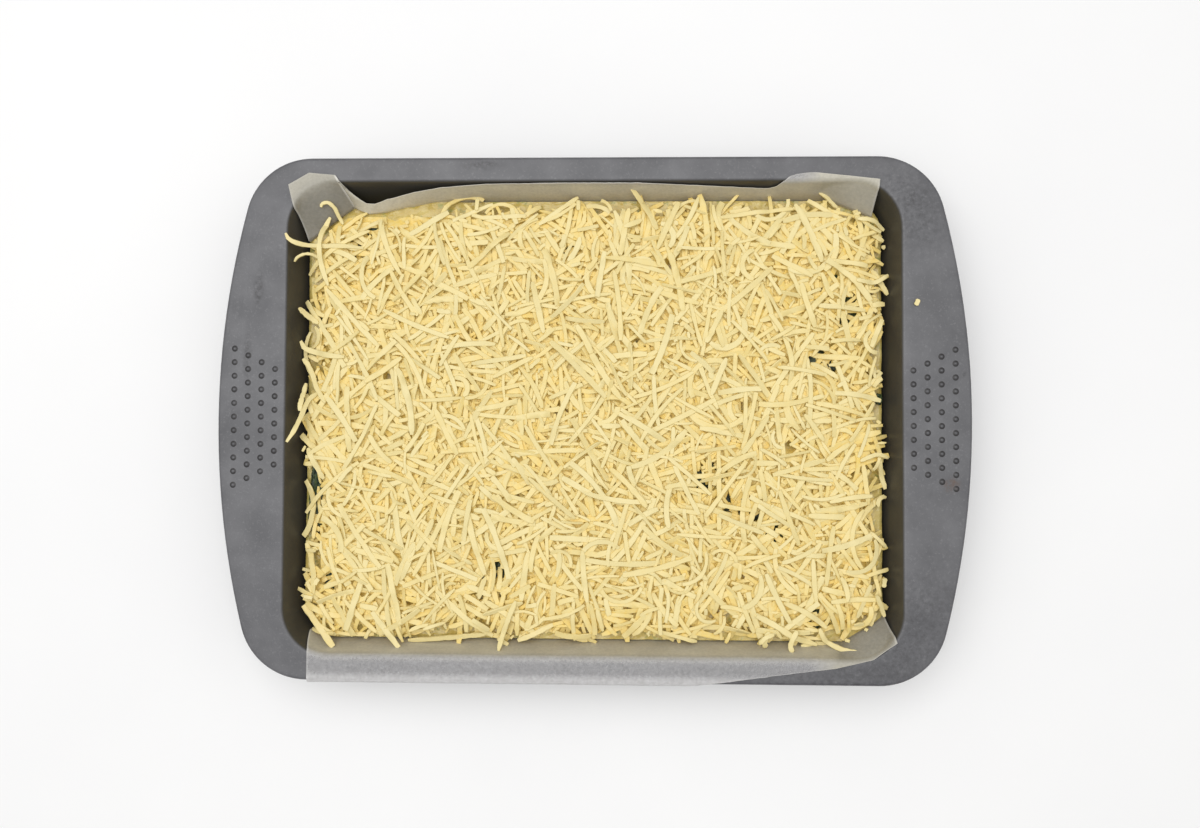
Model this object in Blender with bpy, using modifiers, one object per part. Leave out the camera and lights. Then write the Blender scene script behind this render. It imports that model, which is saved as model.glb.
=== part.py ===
"""Oven tin of courgette and egg slice, lined with baking paper and heaped with grated cheese, uncooked.

Units are metres and +Z is up. The origin is the centre of the tin's flat underside, and the tin's
long sides run along X. Run with: blender --background --python part.py
"""
import math
import random

import bmesh
import bpy
from mathutils import Matrix, Vector, noise

MM = 0.001

# The tin: a pressed sheet, a cavity with leaning walls and a flat rim that widens into end handles
TIN_HEIGHT = 45 * MM
SHEET = 0.9 * MM
OUTER_HALF_LENGTH = 180 * MM
OUTER_HALF_WIDTH = 125.5 * MM
OUTER_CORNER = 32.5 * MM
END_RADIUS = 409 * MM
CAVITY_HALF_LENGTH = 148.7 * MM
CAVITY_HALF_WIDTH = 115.2 * MM
CAVITY_CORNER = 24 * MM
CAVITY_END_RADIUS = 100  # metres: the cavity's ends are as good as straight
WALL_LEAN = math.radians(15)
BASE_RADIUS = 8 * MM
BEND_RADIUS = 3 * MM
LIP_RADIUS = 1.5 * MM
LIP_DROP = 4 * MM
END_STEPS = 3
CORNER_STEPS = 6
SIDE_STEPS = 2
FOLD_STEPS = 3

# Raised grip dots on each handle: rows that shorten towards the cavity, staggered by half a pitch
DOT_COLUMNS = 4
DOTS_IN_OUTER_COLUMN = 11
DOT_PITCH = 6.56 * MM
OUTER_DOT_X = 172 * MM
DOT_RADIUS = 1.4 * MM
DOT_TOP_RADIUS = 0.7 * MM
DOT_RISE = 0.55 * MM
DOT_SINK = 0.4 * MM
DOT_SIDES = 6

# The baking paper: a strip up both long walls. A path position is measured along the wall and rim,
# zero at the cavity's top edge, positive outwards over the rim and negative down the wall.
GAP = 0.3 * MM
PAPER_OFF_TIN = 0.7 * MM
PAPER_THICKNESS = 0.4 * MM
PAPER_FRONT_HANG_RADIUS = 2.4 * MM
PAPER_OVER_LIP = 0.9 * MM
PAPER_COLUMNS = 40
FOOD_LINE = -16 * MM
BACK_FLAP_ROWS = 13
FRONT_FLAP_ROWS = 15
# (place along the wall from its middle, path position of the paper's free edge)
BACK_FREE_EDGE = [(-162, -15), (-152, -2), (-144, 7), (-134, 5.5), (-127, 3), (-112, -6), (-104, -14.5),
                  (-93, -13.5), (-78, -7.3), (-63, -4.2), (-15, -2.5), (23, -2.7), (52, -5.3), (86, -8.4),
                  (99, 0), (109, 2.4), (150, 2.4)]
FRONT_FREE_EDGE = [(-150, 14.5), (24, 14.5), (47, 9.6), (99, 3.3), (122, -1), (150, -2), (160, -15)]
# (left end, right end) along the wall, at the food's surface and at the rim
BACK_ENDS = [(-160, 147), (-140, 136.5)]
FRONT_ENDS = [(-144, 157), (-135.3, 147)]

# The food
MIXTURE_OFF_TIN = 1.65 * MM
MIXTURE_TOP = 30.5 * MM
MIXTURE_SINK = 2.2 * MM
MIXTURE_MARGIN = 14 * MM
MIXTURE_CELLS = (22, 17)
MIXTURE_LUMP = 17 * MM
MIXTURE_MARGIN_START = 1.6

CHEESE_BOTTOM = MIXTURE_TOP + GAP
CHEESE_CELLS = (22, 17)
CHEESE_DEPTH = 4.3 * MM
CHEESE_EDGE_DEPTH = 1.5 * MM
CHEESE_EDGE_SLOPE = 16 * MM
CHEESE_LUMP = 1.5 * MM
CHEESE_LUMP_SIZE = 26 * MM
CHEESE_INSET = 15 * MM
CHEESE_WANDER = 4 * MM
CHEESE_OUTLINE_POINTS = 72
CHEESE_SQUARENESS = 7

SHRED_COUNT = 80
SHRED_LENGTHS = (46 * MM, 22 * MM)
SHRED_WIDTH = 2.4 * MM
SHRED_THICKNESS = 1.7 * MM
SHRED_STEPS = 3
SHRED_RISE = 0.6 * MM
SHRED_RISE_RANGE = (0.2, 1.4)
SHRED_BOW = 0.9
SHRED_CANDIDATES = 14
SHRED_FROM_WALL = 2.5 * MM
SHRED_FROM_LEAF = 2.2 * MM
SHRED_SEED = 41

# Dark green leaf pieces: name, centre x and y, length, width and turn
LEAF_PIECES = [
    ("leaf_left_edge", -135.5, -40, 32, 7, 90),
    ("leaf_back_left", -117.5, 81, 14, 10, 60),
    ("leaf_front_left", -127, -80, 12, 8, 110),
    ("leaf_front", -48, -80, 20, 12, 75),
    ("leaf_centre_left", 56, -28, 16, 10, 35),
    ("leaf_centre", 73, -43, 19, 11, -20),
    ("leaf_centre_right", 88, -56, 12, 9, 80),
    ("leaf_right", 124, 52, 18, 8, 75),
    ("leaf_right_middle", 111, 28, 17, 10, -35),
    ("leaf_front_right", 110, -96, 13, 9, 20),
]
LEAF_THICKNESS = 0.8 * MM
LEAF_WAVE = 0.8 * MM
LEAF_CELLS = (4, 2)
LEAF_TAPER = 0.8
LEAF_POCKET = 1.3 * MM
LEAF_POCKET_SIDES = 14
LEAF_POCKET_FULLNESS = 1.6
CUTTER_REACH = 12 * MM


def clear_scene():
    """Remove the objects that the scene starts with."""
    for item in list(bpy.data.objects):
        bpy.data.objects.remove(item, do_unlink=True)


def new_collection(name):
    collection = bpy.data.collections.new(name)
    bpy.context.scene.collection.children.link(collection)
    return collection


def make_material(name, colour, roughness, metallic=0.0):
    material = bpy.data.materials.new(name)
    material.use_nodes = True
    shader = material.node_tree.nodes["Principled BSDF"]
    shader.inputs["Base Color"].default_value = (*colour, 1)
    shader.inputs["Roughness"].default_value = roughness
    shader.inputs["Metallic"].default_value = metallic
    material.diffuse_color = (*colour, 1)
    return material


def object_from_bmesh(name, bm, collection, material=None):
    """Turn a bmesh into a named object in a collection."""
    mesh = bpy.data.meshes.new(name)
    bm.to_mesh(mesh)
    bm.free()
    item = bpy.data.objects.new(name, mesh)
    collection.objects.link(item)
    if material:
        mesh.materials.append(material)
    return item


def hide_cutter(item):
    item.hide_render = True
    item.display_type = "WIRE"


def add_solidify(item, thickness, offset):
    shell = item.modifiers.new("thickness", "SOLIDIFY")
    shell.thickness = thickness
    shell.offset = offset
    shell.use_even_offset = True
    return shell


def add_boolean(item, operation, other=None, collection=None, solver="EXACT"):
    cut = item.modifiers.new(operation.lower(), "BOOLEAN")
    cut.operation = operation
    cut.solver = solver
    if collection:
        cut.operand_type = "COLLECTION"
        cut.collection = collection
    else:
        cut.object = other
    return cut


def apply_modifiers(item):
    """Replace an object's mesh by its evaluated one."""
    evaluated = item.evaluated_get(bpy.context.evaluated_depsgraph_get())
    mesh = bpy.data.meshes.new_from_object(evaluated)
    item.modifiers.clear()
    item.data = mesh


def keep_main_body(item):
    """Drop loose scraps and the skins of sealed hollows, so that one closed body is left."""
    bm = bmesh.new()
    bm.from_mesh(item.data)
    bmesh.ops.triangulate(bm, faces=bm.faces, quad_method="FIXED", ngon_method="EAR_CLIP")
    unseen = set(bm.faces)
    bodies = []
    while unseen:
        body = set()
        queue = [unseen.pop()]
        while queue:
            face = queue.pop()
            body.add(face)
            joining = [edge for edge in face.edges if len(edge.link_faces) == 2]
            for neighbour in {other for edge in joining for other in edge.link_faces} & unseen:
                unseen.remove(neighbour)
                queue.append(neighbour)
        bodies.append(body)
    bodies.sort(key=lambda faces: sum(face.calc_area() for face in faces))
    scraps = [face for body in bodies[:-1] for face in body]
    bmesh.ops.delete(bm, geom=scraps, context="FACES")
    loose = [vertex for vertex in bm.verts if not vertex.link_faces]
    bmesh.ops.delete(bm, geom=loose, context="VERTS")
    bm.to_mesh(item.data)
    bm.free()


def fuse(item, pieces, solver="EXACT"):
    """Join a collection of pieces to an object by one Boolean union, and remove the pieces."""
    add_boolean(item, "UNION", collection=pieces, solver=solver)
    apply_modifiers(item)
    for piece in list(pieces.objects):
        bpy.data.objects.remove(piece, do_unlink=True)
    bpy.data.collections.remove(pieces)
    keep_main_body(item)


def outline(half_length, half_width, corner, end_radius):
    """Closed ring of points: gently bulging ends, round corners and straight long sides."""
    end_centre = half_length - end_radius
    corner_y = half_width - corner
    corner_x = end_centre + math.sqrt((end_radius - corner) ** 2 - corner_y ** 2)
    tangent = math.atan2(corner_y, corner_x - end_centre)
    quarter = []
    for step in range(END_STEPS):
        angle = tangent * step / END_STEPS
        quarter.append((end_centre + end_radius * math.cos(angle), end_radius * math.sin(angle)))
    for step in range(CORNER_STEPS + 1):
        angle = tangent + (math.pi / 2 - tangent) * step / CORNER_STEPS
        quarter.append((corner_x + corner * math.cos(angle), corner_y + corner * math.sin(angle)))
    for step in range(1, SIDE_STEPS + 1):
        quarter.append((corner_x * (1 - step / SIDE_STEPS), half_width))
    back_left = [(-x, y) for x, y in reversed(quarter[:-1])]
    front_left = [(-x, -y) for x, y in quarter[1:]]
    front_right = [(x, -y) for x, y in reversed(quarter[1:-1])]
    return quarter + back_left + front_left + front_right


def cavity_outline(inset):
    """The cavity's plan, moved inwards from its top edge."""
    return outline(CAVITY_HALF_LENGTH - inset, CAVITY_HALF_WIDTH - inset, CAVITY_CORNER - inset,
                   CAVITY_END_RADIUS)


def outer_outline(inset):
    """The rim's outer plan, moved inwards."""
    return outline(OUTER_HALF_LENGTH - inset, OUTER_HALF_WIDTH - inset, OUTER_CORNER - inset,
                   END_RADIUS - inset)


def fold_centre():
    """Inset and height of the centre of the rounding between the base and the walls."""
    height = SHEET + BASE_RADIUS
    drop = TIN_HEIGHT - BEND_RADIUS - height
    inset = (BASE_RADIUS + BEND_RADIUS + math.sin(WALL_LEAN) * drop) / math.cos(WALL_LEAN)
    return inset, height


def cavity_profile(clearance):
    """(inset, height) up the cavity's inner surface, from the base to the rim, held off it by clearance."""
    steepest = math.pi / 2 - WALL_LEAN
    centre_inset, centre_height = fold_centre()
    fold = BASE_RADIUS - clearance
    bend = BEND_RADIUS + clearance
    profile = []
    for step in range(FOLD_STEPS + 1):
        angle = steepest * step / FOLD_STEPS
        profile.append((centre_inset - fold * math.sin(angle), centre_height - fold * math.cos(angle)))
    for step in range(FOLD_STEPS + 1):
        angle = steepest * (1 - step / FOLD_STEPS)
        height = TIN_HEIGHT - BEND_RADIUS + bend * math.cos(angle)
        profile.append((bend * math.sin(angle), height))
    return profile


def wall_inset(height, clearance):
    """How far inside the cavity's top edge the wall lies at a height, held off it by clearance."""
    foot_inset, foot_height = cavity_profile(clearance)[FOLD_STEPS]
    return foot_inset - (height - foot_height) * math.tan(WALL_LEAN)


def loft(bm, rings):
    """Skin between rings of equal length, each a list of (x, y) and a height. Returns the rings' vertices."""
    levels = []
    for plan, height in rings:
        levels.append([bm.verts.new((x, y, height)) for x, y in plan])
    for lower, upper in zip(levels, levels[1:]):
        for index in range(len(lower)):
            after = (index + 1) % len(lower)
            bm.faces.new((lower[index], lower[after], upper[after], upper[index]))
    return levels


def make_tin(collection, material):
    """The pressed tin with its rolled lip and grip dots."""
    rings = [(cavity_outline(inset), height) for inset, height in cavity_profile(0)]
    for step in range(FOLD_STEPS + 1):
        angle = math.pi / 2 * step / FOLD_STEPS
        height = TIN_HEIGHT - LIP_RADIUS * (1 - math.cos(angle))
        rings.append((outer_outline(LIP_RADIUS * (1 - math.sin(angle))), height))
    rings.append((outer_outline(0), TIN_HEIGHT - LIP_DROP))
    bm = bmesh.new()
    levels = loft(bm, rings)
    bm.faces.new(levels[0])
    bmesh.ops.recalc_face_normals(bm, faces=bm.faces)
    base = max(bm.faces, key=lambda face: face.calc_area())
    if base.normal.z < 0:
        bmesh.ops.reverse_faces(bm, faces=bm.faces)
    tin = object_from_bmesh("baking_tin", bm, collection, material)
    add_solidify(tin, SHEET, -1)
    apply_modifiers(tin)
    fuse(tin, make_grip_dots(material))
    tin.data.shade_smooth()
    tin.data.set_sharp_from_angle(angle=math.radians(35))
    return tin


def make_grip_dots(material):
    """Low round bumps on both handles."""
    dots = new_collection("grip_dots")
    for side in (-1, 1):
        for column in range(DOT_COLUMNS):
            count = DOTS_IN_OUTER_COLUMN - column
            for index in range(count):
                x = side * (OUTER_DOT_X - column * DOT_PITCH)
                y = (index - (count - 1) / 2) * DOT_PITCH
                height = (DOT_RISE - DOT_SINK) / 2 + TIN_HEIGHT
                bm = bmesh.new()
                bmesh.ops.create_cone(bm, cap_ends=True, segments=DOT_SIDES, radius1=DOT_RADIUS,
                                      radius2=DOT_TOP_RADIUS, depth=DOT_RISE + DOT_SINK,
                                      matrix=Matrix.Translation((x, y, height)))
                object_from_bmesh("grip_dot", bm, dots, material)
    return dots


def read_along(points, place):
    """Straight-line reading of a list of (place, value) in millimetres, at a place in metres."""
    place = place / MM
    if place <= points[0][0]:
        return points[0][1] * MM
    for (start, low), (end, high) in zip(points, points[1:]):
        if place <= end:
            return (low + (high - low) * (place - start) / (end - start)) * MM
    return points[-1][1] * MM


def wall_place(along, inset, side):
    """Plan point at a distance along a long wall from its middle, going round the corner at its end.

    Over the rim the back flap fans out round the corners, and the front flap is folded straight down.
    """
    straight = CAVITY_HALF_LENGTH - CAVITY_CORNER
    reach = abs(along) - straight
    radius = CAVITY_CORNER - inset
    level = CAVITY_HALF_WIDTH - CAVITY_CORNER
    if inset < 0 and side < 0:
        x, edge = wall_place(along, 0, 1)
        stretch = (OUTER_HALF_WIDTH - edge) / (OUTER_HALF_WIDTH - CAVITY_HALF_WIDTH)
        return x, side * (edge - inset * stretch)
    if reach <= 0:
        return along, side * (level + radius)
    angle = min(reach / CAVITY_CORNER, math.pi / 2)
    past_corner = reach - CAVITY_CORNER * math.pi / 2
    x = straight + radius * math.sin(angle)
    y = level + radius * math.cos(angle) - max(0, past_corner)
    return math.copysign(x, along), side * y


def paper_path(position):
    """(inset, height) of the paper at a path position: up the wall, over the rim, down past the lip."""
    bend = BEND_RADIUS + PAPER_OFF_TIN
    turn = math.pi / 2 - WALL_LEAN
    bend_length = bend * turn
    if position < -bend_length:
        down = -position - bend_length
        inset = bend * math.sin(turn) + down * math.sin(WALL_LEAN)
        return inset, TIN_HEIGHT - BEND_RADIUS + bend * math.cos(turn) - down * math.cos(WALL_LEAN)
    if position < 0:
        angle = -position / bend
        return bend * math.sin(angle), TIN_HEIGHT - BEND_RADIUS + bend * math.cos(angle)
    top = TIN_HEIGHT + PAPER_OFF_TIN
    hang = PAPER_FRONT_HANG_RADIUS
    rim_width = OUTER_HALF_WIDTH - CAVITY_HALF_WIDTH
    flat = rim_width + PAPER_OVER_LIP - hang
    if position < flat:
        return -position, top
    angle = min((position - flat) / hang, math.pi / 2)
    below = max(0, position - flat - hang * math.pi / 2)
    return -flat - hang * math.sin(angle), top - hang * (1 - math.cos(angle)) - below


def paper_rows(free_edge, ends, rows, side):
    """Rows of plan-and-height points on one long side, from the base's fold up to the free edge."""
    profile = cavity_profile(PAPER_OFF_TIN)[:FOLD_STEPS + 1]
    grid = []
    for inset, height in profile:
        row = []
        for column in range(PAPER_COLUMNS + 1):
            share = column / PAPER_COLUMNS
            along = (ends[0][0] + (ends[0][1] - ends[0][0]) * share) * MM
            row.append((*wall_place(along, inset, side), height))
        grid.append(row)
    for step in range(rows + 1):
        row = []
        for column in range(PAPER_COLUMNS + 1):
            share = column / PAPER_COLUMNS
            at_food, at_rim = (low + (high - low) * share for low, high in ends)
            top = read_along(free_edge, (at_food + at_rim) / 2 * MM)
            position = FOOD_LINE + (top - FOOD_LINE) * step / rows
            climb = min(1, max(0, 1 - position / FOOD_LINE))
            along = (at_food + (at_rim - at_food) * climb) * MM
            inset, height = paper_path(position)
            row.append((*wall_place(along, inset, side), height))
        grid.append(row)
    return grid


def make_paper(collection, material):
    """The strip of baking paper: back flap, back wall, base, front wall and front flap in one sheet."""
    back = paper_rows(BACK_FREE_EDGE, BACK_ENDS, BACK_FLAP_ROWS, 1)
    front = paper_rows(FRONT_FREE_EDGE, FRONT_ENDS, FRONT_FLAP_ROWS, -1)
    grid = list(reversed(back)) + front
    bm = bmesh.new()
    rows = [[bm.verts.new(point) for point in row] for row in grid]
    for upper, lower in zip(rows, rows[1:]):
        for column in range(PAPER_COLUMNS):
            bm.faces.new((upper[column], lower[column], lower[column + 1], upper[column + 1]))
    bmesh.ops.triangulate(bm, faces=bm.faces)
    bmesh.ops.dissolve_limit(bm, angle_limit=math.radians(1.0), verts=bm.verts, edges=bm.edges)
    bmesh.ops.triangulate(bm, faces=bm.faces)
    paper = object_from_bmesh("baking_paper", bm, collection, material)
    add_solidify(paper, PAPER_THICKNESS, 1)
    return paper


def sink_at_margin(x, y):
    """How far the mixture's surface lies under its level, from nothing inland to lumps by the wall."""
    wall = wall_inset(MIXTURE_TOP, 0)
    inland = min(CAVITY_HALF_LENGTH - wall - abs(x), CAVITY_HALF_WIDTH - wall - abs(y))
    share = min(1, max(0, MIXTURE_MARGIN_START - inland / MIXTURE_MARGIN))
    lumps = 0.5 + 0.5 * noise.noise(Vector((x, y, 0)) / MIXTURE_LUMP)
    return MIXTURE_SINK * share * lumps


def make_slab(name, half_length, half_width, cells, top, bottom, collection, material=None):
    """A block whose flat grid top is raised to a height function."""
    bm = bmesh.new()
    bmesh.ops.create_grid(bm, x_segments=cells[0], y_segments=cells[1], size=1)
    for vertex in bm.verts:
        x = vertex.co.x * half_length
        y = vertex.co.y * half_width
        vertex.co = (x, y, top(x, y))
    skirt = bmesh.ops.extrude_edge_only(bm, edges=[edge for edge in bm.edges if edge.is_boundary])
    foot = [vertex for vertex in skirt["geom"] if isinstance(vertex, bmesh.types.BMVert)]
    for vertex in foot:
        vertex.co.z = bottom
    bmesh.ops.contextual_create(bm, geom=[edge for edge in bm.edges if edge.is_boundary])
    bmesh.ops.recalc_face_normals(bm, faces=bm.faces)
    return object_from_bmesh(name, bm, collection, material)


def make_mixture(collection, cutters, material):
    """The egg mixture that fills the lined tin, lumpy where it shows beside the cheese."""
    profile = [point for point in cavity_profile(MIXTURE_OFF_TIN) if point[1] < MIXTURE_TOP]
    above = MIXTURE_TOP + CUTTER_REACH
    profile.append((wall_inset(above, MIXTURE_OFF_TIN), above))
    bm = bmesh.new()
    levels = loft(bm, [(cavity_outline(inset), height) for inset, height in profile])
    bm.faces.new(levels[0])
    bm.faces.new(levels[-1])
    bmesh.ops.recalc_face_normals(bm, faces=bm.faces)
    mixture = object_from_bmesh("egg_mixture", bm, collection, material)
    surface = make_slab("mixture_surface", CAVITY_HALF_LENGTH, CAVITY_HALF_WIDTH, MIXTURE_CELLS,
                        lambda x, y: MIXTURE_TOP - sink_at_margin(x, y), -CUTTER_REACH, cutters)
    hide_cutter(surface)
    add_boolean(mixture, "INTERSECT", surface)
    apply_modifiers(mixture)
    bm = bmesh.new()
    bm.from_mesh(mixture.data)
    bmesh.ops.dissolve_limit(bm, angle_limit=math.radians(0.5), verts=bm.verts, edges=bm.edges)
    bmesh.ops.triangulate(bm, faces=bm.faces)
    bm.to_mesh(mixture.data)
    bm.free()
    return mixture


def cheese_outline():
    """The cheese core's wandering edge, a ring of plan points."""
    half_length = CAVITY_HALF_LENGTH - CHEESE_INSET
    half_width = CAVITY_HALF_WIDTH - CHEESE_INSET
    ring = []
    for index in range(CHEESE_OUTLINE_POINTS):
        angle = 2 * math.pi * index / CHEESE_OUTLINE_POINTS
        direction = Vector((math.cos(angle), math.sin(angle), 0))
        reach = (abs(direction.x / half_length) ** CHEESE_SQUARENESS
                 + abs(direction.y / half_width) ** CHEESE_SQUARENESS) ** (-1 / CHEESE_SQUARENESS)
        wander = CHEESE_WANDER * noise.noise(direction * reach / CHEESE_LUMP_SIZE)
        ring.append((direction.x * (reach + wander), direction.y * (reach + wander)))
    return ring


def cheese_top(x, y):
    """Height of the cheese core's lumpy top, lower towards its edge."""
    inland = min(CAVITY_HALF_LENGTH - CHEESE_INSET - abs(x), CAVITY_HALF_WIDTH - CHEESE_INSET - abs(y))
    rise = min(1, max(0, inland / CHEESE_EDGE_SLOPE))
    lumps = noise.noise(Vector((x, y, 0)) / CHEESE_LUMP_SIZE)
    depth = CHEESE_EDGE_DEPTH + (CHEESE_DEPTH - CHEESE_EDGE_DEPTH + CHEESE_LUMP * lumps) * rise
    return CHEESE_BOTTOM + depth


def leaf_half_width(share, width):
    """Half the width of a leaf piece at a share of its length, from -1 to 1."""
    return width / 2 * math.sqrt(1 - LEAF_TAPER * share * share)


def leaf_frame(piece):
    """Placing matrix of a leaf piece on the mixture."""
    _, x, y, _, _, turn = piece
    return Matrix.Translation((x * MM, y * MM, 0)) @ Matrix.Rotation(math.radians(turn), 4, "Z")


def make_leaf(piece, collection, material):
    """A thin wavy leaf piece that lies on the mixture."""
    name, _, _, length, width, turn = piece
    bm = bmesh.new()
    bmesh.ops.create_grid(bm, x_segments=LEAF_CELLS[0], y_segments=LEAF_CELLS[1], size=1)
    for vertex in bm.verts:
        share, across = vertex.co.x, vertex.co.y
        x = share * length / 2 * MM
        y = across * leaf_half_width(share, width) * MM
        wave = 0.5 + 0.5 * math.sin(3.1 * share + 2.3 * across + turn)
        vertex.co = (x, y, MIXTURE_TOP + GAP + LEAF_WAVE * wave)
    bmesh.ops.triangulate(bm, faces=bm.faces)
    bmesh.ops.transform(bm, matrix=leaf_frame(piece), verts=bm.verts)
    leaf = object_from_bmesh(name, bm, collection, material)
    add_solidify(leaf, LEAF_THICKNESS, 1)
    return leaf


def make_leaf_pocket(piece, cutters):
    """The hole in the cheese core round a leaf piece."""
    name, _, _, length, width, _ = piece
    bm = bmesh.new()
    bmesh.ops.create_cone(bm, cap_ends=True, segments=LEAF_POCKET_SIDES, radius1=1, radius2=1,
                          depth=2 * CUTTER_REACH)
    for vertex in bm.verts:
        share = vertex.co.x
        side = math.copysign(min(1, abs(vertex.co.y) * LEAF_POCKET_FULLNESS), vertex.co.y)
        vertex.co.x = share * (length / 2 * MM + LEAF_POCKET)
        vertex.co.y = side * (leaf_half_width(share, width) * MM + LEAF_POCKET)
        vertex.co.z += CHEESE_BOTTOM
    bmesh.ops.transform(bm, matrix=leaf_frame(piece), verts=bm.verts)
    pocket = object_from_bmesh(name + "_pocket", bm, cutters)
    hide_cutter(pocket)
    return pocket


def shred_line(centre, heading, length, bow):
    """Plan points along a gently bowed shred."""
    points = []
    for step in range(SHRED_STEPS + 1):
        share = step / SHRED_STEPS - 0.5
        turn = heading + bow * share
        reach = share * length
        points.append(centre + Vector((math.cos(turn), math.sin(turn))) * reach)
    return points


def is_clear(points):
    """Whether a shred keeps off the tin's walls and the leaf pieces."""
    limit = wall_inset(CHEESE_BOTTOM, 0) + SHRED_FROM_WALL + SHRED_WIDTH / 2
    corner = CAVITY_CORNER - limit
    for point in points:
        over_x = abs(point.x) - (CAVITY_HALF_LENGTH - limit - corner)
        over_y = abs(point.y) - (CAVITY_HALF_WIDTH - limit - corner)
        if math.hypot(max(0, over_x), max(0, over_y)) > corner:
            return False
    samples = [start.lerp(end, share / 4) for start, end in zip(points, points[1:]) for share in range(5)]
    for piece in LEAF_PIECES:
        inverse = leaf_frame(piece).inverted()
        for sample in samples:
            local = inverse @ Vector((sample.x, sample.y, 0))
            keep_x = piece[3] / 2 * MM + SHRED_FROM_LEAF
            keep_y = piece[4] / 2 * MM + SHRED_FROM_LEAF
            if abs(local.x) < keep_x and abs(local.y) < keep_y:
                return False
    return True


def in_cheese(point, ring):
    """Whether a plan point lies inside the cheese core's edge."""
    inside = False
    for (x1, y1), (x2, y2) in zip(ring, ring[1:] + ring[:1]):
        if (y1 > point.y) != (y2 > point.y):
            if point.x < x1 + (point.y - y1) / (y2 - y1) * (x2 - x1):
                inside = not inside
    return inside


def place_shreds():
    """Shreds over the whole heap, the longest first, each as far as it can be from those before it."""
    chance = random.Random(SHRED_SEED)
    ring = cheese_outline()
    longest, shortest = SHRED_LENGTHS
    lines = []
    centres = []
    for index in range(SHRED_COUNT):
        length = longest + (shortest - longest) * index / SHRED_COUNT
        best = None
        best_room = -1
        for _ in range(SHRED_CANDIDATES):
            centre = Vector((chance.uniform(-1, 1) * CAVITY_HALF_LENGTH,
                             chance.uniform(-1, 1) * CAVITY_HALF_WIDTH))
            bow = chance.uniform(-SHRED_BOW, SHRED_BOW)
            line = shred_line(centre, chance.uniform(0, math.pi), length, bow)
            if not in_cheese(centre, ring) or not is_clear(line):
                continue
            room = min([(centre - other).length for other in centres], default=1)
            if room > best_room:
                best = line
                best_room = room
                best_centre = centre
        if best:
            lines.append(best)
            centres.append(best_centre)
    return lines


def make_shreds():
    """The shreds that show on the heap, as strips bent along its top."""
    shreds = new_collection("shreds")
    chance = random.Random(SHRED_SEED + 1)
    for line in place_shreds():
        bm = bmesh.new()
        lift = SHRED_RISE * chance.uniform(*SHRED_RISE_RANGE)
        edges = []
        for index, point in enumerate(line):
            after = line[min(index + 1, SHRED_STEPS)]
            before = line[max(index - 1, 0)]
            along = (after - before).normalized()
            across = Vector((-along.y, along.x)) * SHRED_WIDTH / 2
            height = max(cheese_top(point.x, point.y), CHEESE_BOTTOM + SHRED_THICKNESS / 2 + GAP) + lift
            edges.append([bm.verts.new((*(point + across * side), height)) for side in (-1, 1)])
        for (left, right), (next_left, next_right) in zip(edges, edges[1:]):
            bm.faces.new((left, right, next_right, next_left))
        shred = object_from_bmesh("shred", bm, shreds)
        add_solidify(shred, SHRED_THICKNESS, 0)
    return shreds


def make_cheese(collection, cutters, material):
    """The heap of grated cheese: a lumpy core with pockets for the leaf pieces, and shreds fused on."""
    cheese = make_slab("grated_cheese", CAVITY_HALF_LENGTH, CAVITY_HALF_WIDTH, CHEESE_CELLS, cheese_top,
                       CHEESE_BOTTOM, collection, material)
    ring = cheese_outline()
    bm = bmesh.new()
    levels = loft(bm, [(ring, CHEESE_BOTTOM - CUTTER_REACH), (ring, CHEESE_BOTTOM + CUTTER_REACH)])
    bm.faces.new(levels[0])
    bm.faces.new(levels[1])
    bmesh.ops.recalc_face_normals(bm, faces=bm.faces)
    edge = object_from_bmesh("cheese_edge", bm, cutters)
    hide_cutter(edge)
    add_boolean(cheese, "INTERSECT", edge)
    for piece in LEAF_PIECES:
        add_boolean(cheese, "DIFFERENCE", make_leaf_pocket(piece, cutters))
    apply_modifiers(cheese)
    keep_main_body(cheese)
    fuse(cheese, make_shreds(), solver="MANIFOLD")
    return cheese


def main():
    clear_scene()
    parts = new_collection("lined_tin_of_egg_and_cheese")
    cutters = new_collection("cutters")
    coating = make_material("dark_nonstick_coating", (0.20, 0.20, 0.215), 0.5, 0.35)
    paper = make_material("baking_paper", (0.52, 0.50, 0.44), 0.6)
    egg = make_material("egg_and_courgette", (0.72, 0.56, 0.17), 0.35)
    cheese = make_material("grated_cheese", (0.82, 0.66, 0.30), 0.55)
    leaf = make_material("dark_green_leaf", (0.03, 0.06, 0.025), 0.4)
    make_tin(parts, coating)
    make_paper(parts, paper)
    make_mixture(parts, cutters, egg)
    make_cheese(parts, cutters, cheese)
    for piece in LEAF_PIECES:
        make_leaf(piece, parts, leaf)


main()
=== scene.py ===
import math
import random

import bpy
import numpy as np
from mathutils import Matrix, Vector, noise


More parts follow.
